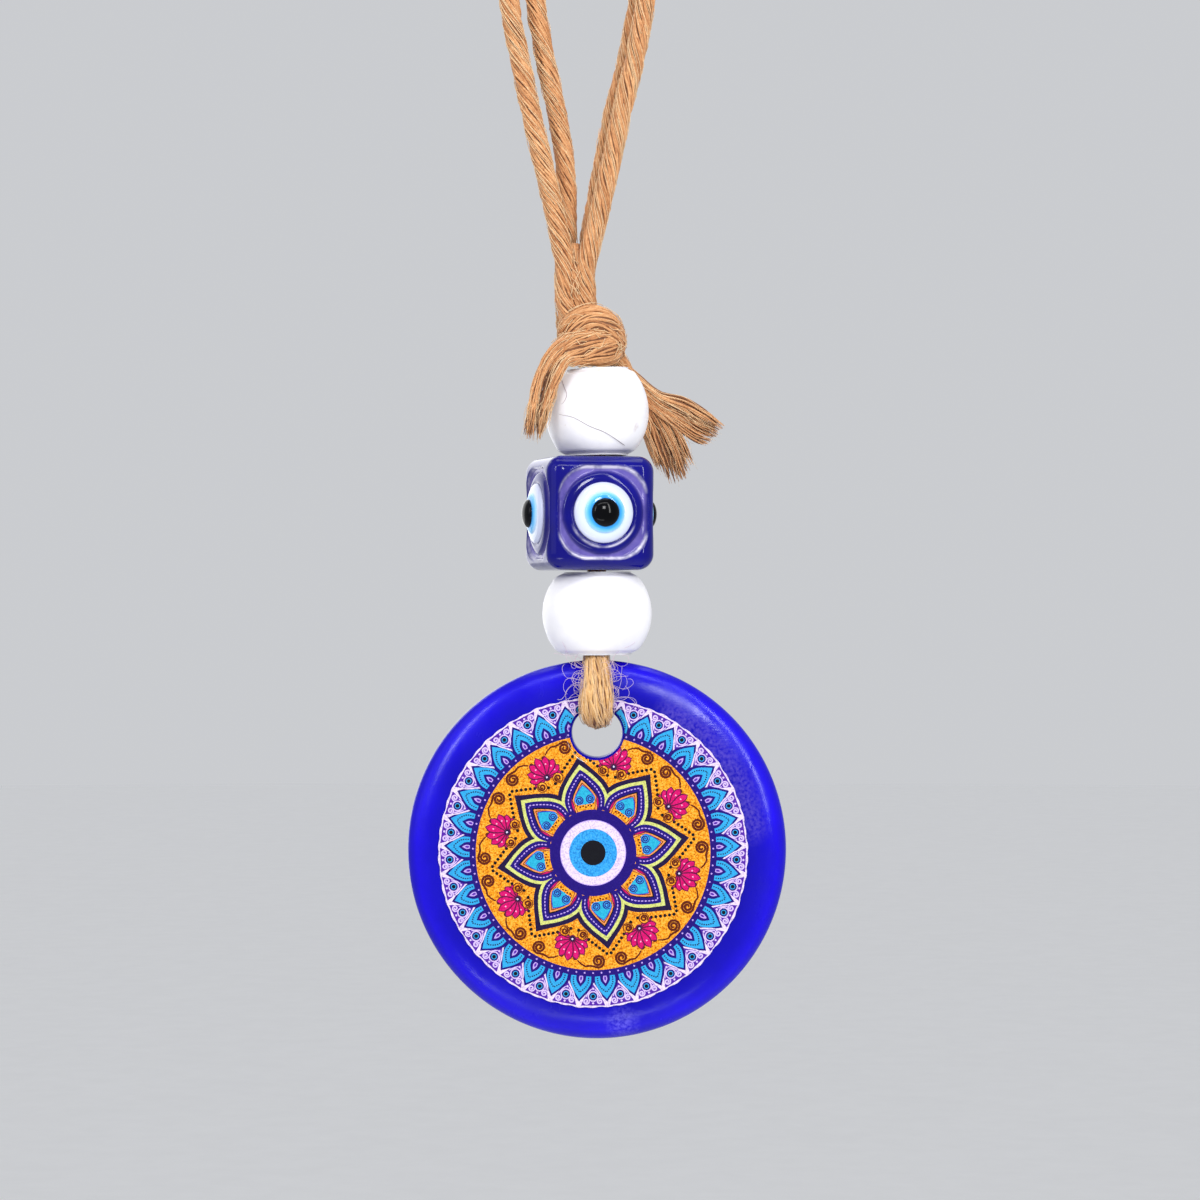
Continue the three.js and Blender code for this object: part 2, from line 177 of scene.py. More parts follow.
def white_glass_paint(name, marks=()):
    """Opaque white glass; marks are small stains: (place, reach, strength, screen colour)."""
    paint = Paint(
        name,
        Specular_IOR_Level=0.3,
        Subsurface_Weight=0.12,
        Subsurface_Scale=0.002,
        Subsurface_Radius=(1.0, 0.95, 0.9),
    )
    cloud = paint.noise(paint.place(), 220, 4)
    base = paint.ramp(cloud, [(0.3, (226, 225, 231)), (0.7, (238, 237, 240))])
    speck = paint.noise(paint.place(), 1500, 2)
    stain = paint.greys(speck, 0, 0.55, 0.7, 0.78)
    base = paint.mix(stain, base, linear((206, 198, 190)))
    for at, reach, strength, rgb in marks:
        base = paint.mix(paint.spot(at, reach, strength), base, linear(rgb))
    paint.shade(Base_Color=base)
    paint.shade(Roughness=paint.greys(cloud, 0.26, 0.42))
    paint.bump(paint.noise(paint.place(), 350, 3), 0.00004, 0.35)
    return paint.material


def glass_paint(name, stops, thin, edge, roughness=0.07, wave=0.00005):
    """Coloured glass: clouds of colour, mixed by UV x towards a paler colour that is painted light through
    thin glass and a painted lavender reflection, and by UV y towards a painted highlight.
    """
    paint = Paint(name, Specular_IOR_Level=0.24)
    cloud = paint.noise(paint.place(), 130, 3)
    own = paint.node("SeparateXYZ", Vector=paint.place("UV")).outputs
    ragged = paint.noise(paint.place(), 380, 3)
    # Painted light: UV x makes the glass paler in the panel's groove, standing in for light through thin
    # glass and a lavender reflection.
    pale_sheen = paint.math("MULTIPLY", own["X"], paint.greys(ragged, 0.45, 1.0, 0.35, 0.65))
    # Painted highlight: UV y mixes the colour towards near-white along the panel's edges.
    bright = paint.math("MULTIPLY", own["Y"], paint.greys(ragged, 0.25, 1.0, 0.4, 0.56))
    colour = paint.mix(pale_sheen, paint.ramp(cloud, stops), linear(thin))
    paint.shade(Base_Color=paint.mix(bright, colour, linear(edge)))
    smear = paint.noise(paint.place(scale=(1, 1, 2.5)), 260, 4)
    paint.shade(Roughness=paint.greys(smear, roughness * 0.5, roughness * 2.2, 0.3, 0.75))
    seeds = paint.node("TexVoronoi", Vector=paint.place(), Scale=900.0).outputs["Distance"]
    pits = paint.greys(seeds, -1.0, 0.0, 0.0, 0.16)
    surface = paint.math("ADD", paint.noise(paint.place(), 170, 2), paint.math("MULTIPLY", pits, 0.25))
    paint.bump(surface, wave, 0.6)
    return paint.material


CORD = fibre_paint(
    "waxed_cotton",
    [(0.28, (100, 54, 24)), (0.42, (172, 110, 60)), (0.55, (206, 150, 98)), (0.72, (234, 190, 140))],
)
# Painted shade: the cord's core is dark so that the gaps between its yarns look shaded.
CORD_GAP_SHADE = fibre_paint("cord_core_gap_shade", [(0.3, (84, 44, 20)), (0.7, (150, 96, 52))])
CORD_PALE = fibre_paint("loose_cotton", [(0.3, (205, 156, 104)), (0.7, (245, 214, 170))])
BIGHT_GOLD = fibre_paint(
    "bight_cotton", [(0.3, (150, 96, 44)), (0.5, (214, 166, 104)), (0.7, (247, 218, 172))]
)
FLUFF = fibre_paint("cotton_fluff", [(0.3, (190, 160, 176)), (0.7, (232, 212, 226))])
HAIR = fibre_paint("stray_hair", [(0.3, (120, 104, 112)), (0.7, (168, 150, 156))])
WHITE = white_glass_paint("white_glass")
WHITE_MARKED = white_glass_paint(
    "marked_white_glass",
    [((5.0, -3.9, -78.2), 0.75, 0.9, (170, 142, 134)), ((0.4, -4.3, -71.0), 1.5, 0.8, (236, 224, 168))],
)
# The third colour is painted light through thin glass and a painted lavender reflection in the panel's
# groove; the fourth is the painted highlight on the panel's edges.
NAVY = glass_paint("navy_glass", [(0.3, (2, 1, 92)), (0.7, (5, 3, 122))], (116, 104, 178), (236, 232, 246))


# ---- Mesh helpers ----
def unit(v):
    return v / np.maximum(np.linalg.norm(v, axis=-1, keepdims=True), 1e-12)


def make(name, body, shape, paints, stands_for=()):
    """A piece from (vertices in mm, faces, per-vertex UVs or None, paint index per face or None)."""
    verts, faces, uvs, index = shape
    mesh = bpy.data.meshes.new(name)
    mesh.from_pydata((np.asarray(verts) * MM).tolist(), [], [tuple(f) for f in faces])
    for paint in paints:
        mesh.materials.append(paint)
    if uvs is not None:
        layer = mesh.uv_layers.new(name="own")
        corner = np.empty(len(mesh.loops), np.int32)
        mesh.loops.foreach_get("vertex_index", corner)
        layer.data.foreach_set("uv", np.asarray(uvs, np.float32)[corner].ravel())
    if index is not None:
        mesh.polygons.foreach_set("material_index", np.asarray(index, np.int32))
    mesh.polygons.foreach_set("use_smooth", np.ones(len(mesh.polygons), bool))
    mesh.update()
    made = bpy.data.objects.new(name, mesh)
    bpy.context.scene.collection.objects.link(made)
    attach(made, body)
    if stands_for:
        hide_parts(*stands_for)
    return made


def joined(*shapes):
    """One shape from several; the nth shape gets the nth paint."""
    verts, faces, uvs, index, base = [], [], [], [], 0
    for paint, (v, f, uv, own) in enumerate(shapes):
        verts.append(v)
        uvs.append(np.zeros((len(v), 2)) if uv is None else uv)
        faces += [[i + base for i in face] for face in f]
        index += [paint] * len(f) if own is None else list(own)
        base += len(v)
    return np.vstack(verts), faces, np.vstack(uvs), index


def length_along(line):
    return np.concatenate([[0], np.cumsum(np.linalg.norm(np.diff(line, axis=0), axis=1))])


def resampled(values, along, at):
    """Rows of values that lie at places along a line, read off at other places on it."""
    return np.stack([np.interp(at, along, column) for column in values.T], axis=1)


def curve(points, step=0.5):
    """A smooth curve through the points, with its own points about a step apart."""
    p = np.array(points, float)
    p = np.vstack([2 * p[0] - p[1], p, 2 * p[-1] - p[-2]])
    parts = []
    for a, b, c, d in zip(p, p[1:], p[2:], p[3:]):
        t = np.linspace(0, 1, 24, endpoint=False)[:, None]
        bend = (2 * a - 5 * b + 4 * c - d) * t**2
        parts.append(0.5 * (2 * b + (c - a) * t + bend + (3 * b - a - 3 * c + d) * t**3))
    line = np.vstack([*parts, p[-2:-1]])
    along = length_along(line)
    at = np.linspace(0, along[-1], max(3, round(along[-1] / step) + 1))
    return resampled(line, along, at)


def ring_quads(a, b, sides):
    """Quads between two rings of vertices that start at a and b."""
    return [(a + j, a + (j + 1) % sides, b + (j + 1) % sides, b + j) for j in range(sides)]


def ring_faces(rings, sides, base=0):
    """Quads between rings of the same number of vertices, and a cap at each end."""
    faces = []
    for i in range(rings - 1):
        faces += ring_quads(base + i * sides, base + (i + 1) * sides, sides)
    faces.append(tuple(base + j for j in reversed(range(sides))))
    faces.append(tuple(base + (rings - 1) * sides + j for j in range(sides)))
    return faces


def section_frames(line, up):
    """Side and normal vectors along a line; `up` is a direction, or one for each point."""
    tangent = unit(np.gradient(line, axis=0))
    side = unit(np.cross(tangent, np.broadcast_to(up, line.shape)))
    return side, unit(np.cross(side, tangent))


def swept(line, up, half_side, half_normal, sides=20):
    """An oval tube along a line."""
    side, normal = section_frames(line, up)
    angle = TURN * np.arange(sides) / sides
    a = np.broadcast_to(half_side, len(line))[:, None, None]
    b = np.broadcast_to(half_normal, len(line))[:, None, None]
    across = a * np.cos(angle)[None, :, None] * side[:, None]
    ring = across + b * np.sin(angle)[None, :, None] * normal[:, None]
    verts = (line[:, None] + ring).reshape(-1, 3)
    u = np.abs(2 * np.arange(sides) / sides - 1)
    v = length_along(line) / 10
    uvs = np.stack(np.broadcast_arrays(u[None], v[:, None]), axis=-1).reshape(-1, 2)
    return verts, ring_faces(len(line), sides), uvs, None


def tubes(paths, radii, sides=6):
    """Round tubes along paths of shape (tubes, points, 3)."""
    count, points, _ = paths.shape
    tangent = unit(np.gradient(paths, axis=1))
    helper = np.where(np.abs(tangent[:, 0, 1:2]) < 0.8, [[0.0, 1.0, 0.0]], [[1.0, 0.0, 0.0]])
    side = np.cross(tangent[:, 0], helper)
    across = np.empty_like(paths)
    for i in range(points):
        side = unit(side - (side * tangent[:, i]).sum(-1, keepdims=True) * tangent[:, i])
        across[:, i] = side
    normal = np.cross(tangent, across)
    angle = TURN * np.arange(sides) / sides
    radii = np.broadcast_to(radii, (count, points))[:, :, None, None]
    ring = np.cos(angle)[:, None] * across[:, :, None] + np.sin(angle)[:, None] * normal[:, :, None]
    verts = (paths[:, :, None] + radii * ring).reshape(-1, 3)
    faces = []
    for i in range(count):
        faces += ring_faces(points, sides, i * points * sides)
    u = 0.15 * np.abs(2 * np.arange(sides) / sides - 1)
    own = rng.uniform(0, 60, count)
    v = np.stack([length_along(p) for p in paths]) / 10
    uvs = np.stack(np.broadcast_arrays(own[:, None, None] + u, v[:, :, None]), axis=-1)
    return verts, faces, uvs.reshape(-1, 2), None


def wander(count, along, wavelength, amount):
    """Slow random wobble along each of `count` yarns."""
    total = np.zeros((count, len(along)))
    for share in (1.0, 0.5):
        wave = wavelength * rng.uniform(0.7, 1.4, (count, 1)) * share
        total += share * np.sin(TURN * along / wave + rng.uniform(0, TURN, (count, 1)))
    return amount * total


def lay_of_yarns(line, up, half_side, half_normal, count, pitch, depth=(0.82, 0.9), wobble=0.12):
    """Centre lines of yarns wound round a line, just under the surface of its oval section."""
    side, normal = section_frames(line, up)
    along = length_along(line)
    angle = TURN * (np.arange(count)[:, None] + rng.uniform(-0.2, 0.2, (count, 1))) / count
    angle = angle + TURN * along / pitch + wander(count, along, 9, wobble)
    out = rng.uniform(*depth, (count, 1)) + wander(count, along, 7, 0.03)
    a = (np.broadcast_to(half_side, len(line)) * out)[..., None]
    b = (np.broadcast_to(half_normal, len(line)) * out)[..., None]
    return line + a * np.cos(angle)[..., None] * side + b * np.sin(angle)[..., None] * normal


def loose_fibres(line, up, half_side, half_normal, count, pitch, lift=(1.0, 1.12), share=(0.05, 0.2)):
    """Fine fibres that lie on the cord for a short way and lift off a little."""
    side, normal = section_frames(line, up)
    along = length_along(line)
    steps = 14
    part = np.linspace(0, 1, steps)
    paths = []
    for _ in range(count):
        run = rng.uniform(*share) * along[-1]
        start = rng.uniform(0, along[-1] - run)
        at = np.linspace(start, start + run, steps)
        pick, s, n = (resampled(values, along, at) for values in (line, side, normal))
        a = np.interp(at, along, np.broadcast_to(half_side, len(line)))[:, None]
        b = np.interp(at, along, np.broadcast_to(half_normal, len(line)))[:, None]
        drift = rng.normal(0, 0.35) * part
        drift = drift + 0.1 * np.sin(np.linspace(0, 5, steps) + rng.uniform(0, 6))
        angle = (rng.uniform(0, TURN) + TURN * at / pitch + drift)[:, None]
        out = rng.uniform(*lift) + 0.03 * np.sin(np.linspace(0, 4, steps) + rng.uniform(0, 6))[:, None]
        paths.append(pick + out * (a * np.cos(angle) * s + b * np.sin(angle) * n))
    return np.array(paths)


PITCH = 15.0  # length of one turn of the cord's twist
CORD_RADIUS = 1.25


def strand(
    line, up, half_side=CORD_RADIUS, half_normal=CORD_RADIUS, yarns=24, yarn=0.17, fibres=150, pitch=PITCH
):
    """A twisted cord: a core painted dark as shade between the yarns, yarns wound round it, and fine loose
    fibres.
    """
    inner = 0.8
    core = swept(line, up, np.multiply(half_side, inner), np.multiply(half_normal, inner))
    wound = lay_of_yarns(line, up, half_side, half_normal, yarns, pitch)
    thick = yarn * (1 + 0.18 * wander(yarns, length_along(line), 5, 1.0))
    loose = loose_fibres(line, up, half_side, half_normal, fibres, pitch)
    return joined(tubes(wound, thick), core, tubes(loose, 0.045, 4))


CORD_PAINTS = [CORD, CORD_GAP_SHADE, CORD_PALE]


# ---- Hanging loop: two strands side by side, one free cord each ----
NECK_LEFT = -4.25
NECK_RIGHT = -1.45
STRAND_Y = 1.4
FRONT_ROUTE = [
    (NECK_LEFT, -60.8), (NECK_LEFT, -57), (-5.1, -52), (-6.8, -44.6), (-8.6, -37), (-10.2, -29.5),
    (-11.5, -22), (-12.1, -14), (-10.9, -6.5), (-6.6, -0.6), (0, 1.25), (5.4, -1.5), (8.1, -7.5),
    (7.8, -14.5), (6.4, -22), (5.1, -29.5), (3.2, -37), (1.6, -44.6), (0.1, -51), (NECK_RIGHT, -57),
    (NECK_RIGHT, -60.8),
]
REAR_ROUTE = [
    (NECK_LEFT, -60.8), (NECK_LEFT, -57), (-3.9, -52), (-4.1, -44.6), (-5.2, -37), (-6.8, -29.5),
    (-8.1, -22), (-9.3, -14), (-9, -6.8), (-5.8, -1), (0, 1.25), (4.6, -1.3), (7, -7.5), (6.6, -14.5),
    (5.4, -22), (4, -29.5), (2.1, -37), (0.6, -44.6), (-0.6, -51), (NECK_RIGHT, -57), (NECK_RIGHT, -60.8),
]


INTO_KNOT_LEFT = [(-3.0, -65.6), (-3.8, -63.2)]
INTO_KNOT_RIGHT = [(-1.2, -63.2), (-0.5, -65.6)]


def make_loop_strand(name, route, y, node):
    route = INTO_KNOT_LEFT + route + INTO_KNOT_RIGHT
    line = curve([(x, y, z) for x, z in route], 0.55)
    made = make(name, "hanging_cord", strand(line, (0, 1, 0)), CORD_PAINTS, [node])


make_loop_strand("cord_loop_front", FRONT_ROUTE, -STRAND_Y, "loop_strand_front")
make_loop_strand("cord_loop_rear", REAR_ROUTE, STRAND_Y, "loop_strand_rear")


# ---- Knot ----
KNOT_CENTRE = np.array([-1.0, 0.0, -65.7])


def outward(line, flatten=0.35):
    """Directions away from the middle of the knot, for bands that wrap round it."""
    away = line - KNOT_CENTRE
    away[:, 2] *= flatten
    return unit(away)


def knot_band(points, half_width, half_thickness, yarns=44, yarn=0.15, fibres=70, pitch=42.0):
    line = curve(points, 0.4)
    t = np.linspace(0, 1, len(line))
    spots = np.linspace(0, 1, len(half_width))
    width = np.interp(t, spots, half_width)
    thick = np.interp(t, np.linspace(0, 1, len(half_thickness)), half_thickness)
    return strand(line, outward(line), width, thick, yarns, yarn, fibres, pitch)


def make_knot():
    neck = curve([(-2.9, 0, -54.0), (-2.85, 0, -57), (-2.85, 0, -60), (-2.4, 0, -65.5)], 0.4)
    neck_t = np.linspace(0, 1, len(neck))
    neck_side = np.interp(neck_t, [0, 0.3, 0.6, 1], [0.5, 1.7, 2.5, 2.6])
    neck_normal = np.interp(neck_t, [0, 0.3, 1], [0.8, 2.35, 2.6])
    bands = {
        "knot_neck": strand(neck, (0, 1, 0), neck_side, neck_normal, 56, 0.16, 120, 46.0),
        "knot_upper_band": knot_band(
            [(-3.6, -1.0, -67.4), (-3.9, -2.4, -65.9), (-2.5, -3.2, -64.6), (-0.5, -3.5, -64.1),
             (1.3, -3.0, -64.9), (2.4, -1.9, -66.3), (2.6, -0.3, -67.6), (1.9, 1.2, -68.4)],
            [1.3, 1.7, 1.95, 2.0, 2.0, 1.9, 1.8, 1.4], [1.1, 1.2, 1.2, 1.2, 1.2],
        ),
        "knot_lower_band": knot_band(
            [(1.7, 0.6, -66.6), (2.4, -1.1, -67.4), (1.1, -2.9, -67.9), (-1.2, -3.6, -67.9),
             (-3.4, -3.8, -68.1), (-5.1, -3.7, -69.2), (-6.3, -3.9, -71.4)],
            [1.5, 2.3, 2.5, 2.5, 2.3, 1.7, 0.9], [1.1, 1.15, 1.15, 1.0, 0.6], yarns=50, fibres=90,
        ),
        "knot_rear_band": knot_band(
            [(-3.9, -0.6, -63.4), (-4.1, 1.6, -64.3), (-2.4, 3.1, -65.4), (-0.1, 3.4, -66.4),
             (1.9, 2.6, -67.0), (2.5, 1.0, -66.6)],
            [1.5, 1.9, 2.1, 2.1, 1.9, 1.5], [1.1, 1.2, 1.2, 1.1],
        ),
        "knot_rear_lower_band": knot_band(
            [(-3.6, -1.2, -68.0), (-3.7, 1.4, -67.9), (-1.8, 3.1, -67.9), (0.6, 3.7, -68.1),
             (2.6, 4.2, -68.9), (4.4, 4.9, -70.8)],
            [1.2, 1.6, 1.7, 1.7, 1.3, 0.7], [1.0, 1.1, 1.1, 0.6],
        ),
    }
    for name, shape in bands.items():
        make(name, "hanging_cord", shape, CORD_PAINTS, ["cord_knot"])


make_knot()


# ---- Sizes of the white beads ----
UPPER_BEAD = {"z": -76.1, "diameter": 13.5, "height": 11.4, "face": 8.7}
LOWER_BEAD = {"z": -102.45, "diameter": 14.3, "height": 10.9, "face": 9.5}


def side_arc(diameter, height, face):
    """The radius of the arc of a bead's side, and how far from the bead's axis its centre is."""
    swell = (diameter - face) / 2
    radius = (swell**2 + (height / 2) ** 2) / (2 * swell)
    return radius, diameter / 2 - radius


def upper_bead_radius(z):
    """How far from the axis the upper bead's side is at each height, its arc carried on past its ends."""
    radius, centre = side_arc(*[UPPER_BEAD[key] for key in ("diameter", "height", "face")])
    from_middle = np.minimum(np.abs(z - UPPER_BEAD["z"]), radius)
    return centre + np.sqrt(radius**2 - from_middle**2)


def clear_of_bead(line, gap=0.5):
    """A line of points, moved outwards where it would run into the upper bead."""
    out = np.hypot(line[:, 0], line[:, 1])
    wanted = np.maximum(out, upper_bead_radius(line[:, 2]) + gap)
    return np.column_stack([line[:, :2] * (wanted / out)[:, None], line[:, 2]])


# ---- Frayed ends ----
def tuft(rows, depth, count, yarn, rough=0.25, hair=40, parting=0.0):
    """Yarns that run through rows of points from side to side: the root row first, the tips last."""
    steps = 22

    def paths(number, spread, jitter, gap):
        q = np.sort(rng.uniform(0, 1, number))
        q = np.where(q < 0.5, q * (1 - gap), 1 - (1 - q) * (1 - gap))
        layer = rng.uniform(-1, 1, number) * depth * spread
        short = rng.uniform(0.8, 1.0, number) ** 0.7
        made = []
        for i in range(number):
            stops = []
            for row in rows:
                row = np.array(row, float)
                where = q[i] * (len(row) - 1)
                stops.append([np.interp(where, np.arange(len(row)), row[:, k]) for k in range(3)])
            stops = np.array(stops)
            stops[:, 1] += layer[i] * np.linspace(0.8, 1.0, len(stops))
            loose = np.linspace(0.4, 1, len(stops) - 1)[:, None]
            stops[1:] += rng.normal(0, jitter, (len(stops) - 1, 3)) * loose
            line = clear_of_bead(curve(stops, 0.2))
            last = int((len(line) - 1) * short[i])
            made.append(resampled(line, np.arange(len(line)), np.linspace(0, last, steps)))
        return np.array(made)

    taper = np.interp(np.linspace(0, 1, steps), [0, 0.55, 0.85, 1], [1, 1, 0.7, 0.15])
    thick = yarn * rng.uniform(0.75, 1.25, (count, 1)) * taper
    body = tubes(paths(count, 1.0, rough, parting), thick)
    under = tubes(paths(count // 2, 0.5, rough * 0.7, 0.0), yarn * 1.3 * taper)
    fine = tubes(paths(hair, 1.25, rough * 1.8, parting / 2), 0.045 * taper, 4)
    return joined(body, under, fine)


def make_frayed_ends():
    left = tuft(
        [
            [(-2.2, -3.0, -66.4), (-1.8, -3.2, -69.4)],
            [(-4.8, -4.0, -67.0), (-3.6, -4.4, -70.0)],
            [(-6.9, -4.2, -69.5), (-4.8, -5.0, -71.9)],
            [(-8.2, -4.3, -73.2), (-5.7, -5.2, -74.3)],
            [(-8.9, -4.5, -76.6), (-6.5, -5.3, -77.0)],
            [(-9.5, -4.6, -79.7), (-8.0, -5.0, -80.4), (-6.9, -5.4, -79.3)],
        ],
        0.75, 84, 0.15, 0.26, 110, 0.42,
    )
    make("frayed_end_left_yarns", "hanging_cord", left, CORD_PAINTS, ["frayed_end_left"])
    upper = tuft(
        [
            [(2.6, 4.2, -68.4), (2.2, 4.2, -70.4)],
            [(5.6, 5.0, -70.9), (4.8, 5.2, -73.0)],
            [(8.3, 5.8, -73.0), (8.2, 6.0, -76.0)],
            [(11.6, 6.4, -73.7), (10.9, 6.7, -78.2)],
            [(14.4, 6.9, -75.2), (12.8, 7.0, -79.6)],
            [(17.2, 7.2, -77.7), (16.4, 7.3, -78.6), (14.6, 7.3, -80.3)],
        ],
        0.9, 110, 0.16, 0.16, 90,
    )
    make("frayed_end_right_upper", "hanging_cord", upper, CORD_PAINTS, ["frayed_end_right"])
    lower = tuft(
        [
            [(3.0, 4.4, -69.0), (2.2, 4.2, -70.8)],
            [(6.0, 5.6, -72.2), (4.6, 5.6, -74.0)],
            [(9.2, 6.6, -75.8), (5.9, 6.8, -77.6)],
            [(11.4, 7.2, -79.2), (6.8, 7.4, -80.6)],
            [(13.2, 7.6, -82.6), (11.7, 7.7, -84.8), (9.9, 7.7, -85.0), (8.2, 7.6, -83.2)],
        ],
        0.9, 120, 0.15, 0.24, 90,
    )
    make("frayed_end_right_lower", "hanging_cord", lower, CORD_PAINTS, ["frayed_end_right"])


make_frayed_ends()


# ---- Cord inside the beads, and the bight through the disc ----
def make_core_legs():
    for name, y in (("core_leg_front", -STRAND_Y), ("core_leg_rear", STRAND_Y)):
        line = curve([(0, y, -70.5), (0, y, -87), (0, y, -103.0)], 0.8)
        shape = strand(line, (0, 1, 0), 1.2, 1.2, yarns=16, fibres=8)
        make(f"{name}_yarns", "hanging_cord", shape, CORD_PAINTS, [name])


BIGHT_HALF = [
    (1.4, -103.3), (1.5, -105.3), (2.19, -107.4), (3.37, -109.27), (3.87, -110.73), (4.10, -112.16),
    (4.32, -113.18), (3.43, -115.44), (1.4, -116.33),
]


def curls(box_low, box_high, count, size, run, away):
    """Fine curly fibres that start in a box and drift away from the cord."""
    paths = []
    for _ in range(count):
        points = [rng.uniform(box_low, box_high)]
        heading = unit(np.array([away * rng.uniform(0.3, 1.2), rng.normal(0, 0.15), rng.normal(0, 0.8)]))
        turn = rng.normal(0, 0.16)
        for _ in range(20):
            turn += rng.normal(0, 0.07)
            c, s = math.cos(turn), math.sin(turn)
            x, y, z = heading
            heading = unit(np.array([x * c - z * s, y * 0.9, x * s + z * c]))
            points.append(points[-1] + heading * run / 20)
        paths.append(points)
    return tubes(np.array(paths), size, 4)


def make_bight():
    front = [(0.0, -y, z) for y, z in BIGHT_HALF]
    rear = [(0.0, y, z) for y, z in BIGHT_HALF][::-1]
    line = curve(front + rear, 0.4)
    t = np.abs(np.linspace(-1, 1, len(line)))
    wide = np.interp(t, [0, 0.2, 0.35, 0.6, 0.75, 1], [1.75, 2.1, 2.1, 1.7, 1.45, 1.3])
    thick = np.interp(t, [0, 0.2, 0.35, 0.6, 1], [1.15, 1.0, 1.0, 1.1, 1.2])
    shape = strand(line, (1, 0, 0), thick, wide, yarns=46, yarn=0.14, fibres=150, pitch=70)
    paints = [BIGHT_GOLD, CORD_GAP_SHADE, CORD_PALE]
    make("bight_yarns", "disc_bight", shape, paints, ["cord_bight"])
    for side, sign in (("left", -1), ("right", 1)):
        low = np.array([min(sign * 1.3, sign * 1.9), -4.5, -114.0])
        high = np.array([max(sign * 1.3, sign * 1.9), -3.4, -108.3])
        fuzz = curls(low, high, 30, 0.022, 4.6, sign)
        make(f"bight_fuzz_{side}", "disc_bight", fuzz, [FLUFF])


make_core_legs()
make_bight()


# ---- Beads ----
BORE_RADIUS = 3.0
FLARE_DEPTH = 2.6


def lathed(profile, sides):
    """A ring turned about Z from a closed outline of (radius, height) points."""
    angle = TURN * np.arange(sides) / sides
    p = np.array(profile, float)
    height = np.broadcast_to(p[:, 1:], (len(p), sides))
    verts = np.stack([p[:, :1] * np.cos(angle), p[:, :1] * np.sin(angle), height], axis=-1)
    faces = []
    for i in range(len(p)):
        faces += ring_quads(i * sides, (i + 1) % len(p) * sides, sides)
    return verts.reshape(-1, 3), faces


def arc(cx, cy, rx, ry, start, end, steps):
    t = np.radians(np.linspace(start, end, steps))
    return [(cx + rx * math.cos(a), cy + ry * math.sin(a)) for a in t]


def make_bead(name, node, z, diameter, height, face, mouth, lean, uneven, paint):
    half, edge = height / 2, 1.0
    radius, centre = side_arc(diameter, height, face)
    sweep = math.degrees(math.asin((half - edge * 0.62) / radius))
    corner = face / 2 - edge * 0.75
    profile = arc(centre, 0, radius, radius, -sweep, sweep, 34)
    top = [profile[-1], (face / 2 - 0.05, half - edge * 0.3)]
    top += [(corner + 0.25, half - 0.06), (corner - 0.2, half)]
    rim = [tuple(p) for p in curve(top, 0.12)[1:]]
    rim += [(mouth + 0.25, half - 0.02), (mouth, half - 0.22), (BORE_RADIUS, half - FLARE_DEPTH)]
    profile += rim + [(r, -h) for r, h in reversed(rim)]
    verts, faces = lathed(profile, 96)
    angle = np.arctan2(verts[:, 1], verts[:, 0])
    up = np.clip(verts[:, 2] / half, -1, 1)
    swollen = 1 + uneven * np.sin(2 * angle + 0.7) + uneven * 0.6 * np.sin(3 * angle + 2.1 + 2 * up)
    verts[:, :2] *= np.where(np.hypot(verts[:, 0], verts[:, 1]) > mouth + 0.5, swollen, 1.0)[:, None]
    verts[:, 2] += np.where(up > 0, lean[0], lean[1]) * np.abs(up) * verts[:, 0]
    verts[:, 2] += z
    make(name, name.replace("_glass", ""), (verts, faces, None, None), [paint], [node])


make_bead(
    "upper_white_bead_glass", "upper_bead", **UPPER_BEAD, mouth=3.89, lean=(0.05, 0.02), uneven=0.006,
    paint=WHITE_MARKED,
)
make_bead(
    "lower_white_bead_glass", "lower_bead", **LOWER_BEAD, mouth=4.29, lean=(0.012, 0.008), uneven=0.005,
    paint=WHITE,
)


# ---- Cube eye bead ----
CUBE_AT = np.array([-1.0, 0.0, -89.4])
CUBE_TURN = math.radians(15)
CUBE_HALF = 7.2
CUBE_HALF_HEIGHT = 7.4
CUBE_CORNER = 2.0
CUBE_EDGE = 2.1
PANEL_HALF = 6.1
PANEL_CORNER = 4.2
PANEL_DEPTH = 0.55
BOSS_RADIUS = 5.45
EYE_RADIUS = 3.95


def past_panel(u, v):
    """How far a point is outside the panel's rounded square; negative inside it."""
    q = np.maximum(np.abs(np.stack([u, v])) - (PANEL_HALF - PANEL_CORNER), 0)
    return np.hypot(q[0], q[1]) - PANEL_CORNER


def painted_edge_highlight(u, v):
    """How strong the painted highlight is along the panel's upper and lower outline and under the eye,
    standing in for reflections on the pressed edges.
    """
    outline = np.exp(-(((past_panel(u, v) + 0.2) / 0.15) ** 2)) * np.clip((np.abs(v) - 2.4) / 1.6, 0, 1)
    under_eye = np.exp(-(((np.hypot(u, v) - EYE_RADIUS - 0.5) / 0.11) ** 2))
    under_eye = under_eye * np.clip((-v - 1.4) / 1.6, 0, 1)
    return np.clip(outline + 0.7 * under_eye, 0, 1)


def sunk(u, v):
    """How deep a side of the cube lies below its flat at a point of the panel."""
    edge = np.clip((0.1 - past_panel(u, v)) / 0.62, 0, 1)
    groove = PANEL_DEPTH * edge * edge * (3 - 2 * edge)
    r = np.hypot(u, v)
    t = np.clip((r - EYE_RADIUS - 0.15) / (BOSS_RADIUS - EYE_RADIUS - 0.15), 0, 1)
    boss = PANEL_DEPTH * (1 - np.sqrt(np.maximum(1 - t**2, 0))) - 0.05 * (1 - t)
    crease = 0.16 * np.exp(-(((r - EYE_RADIUS - 0.05) / 0.13) ** 2))
    return np.where(r < BOSS_RADIUS, np.minimum(boss, groove), groove) + crease


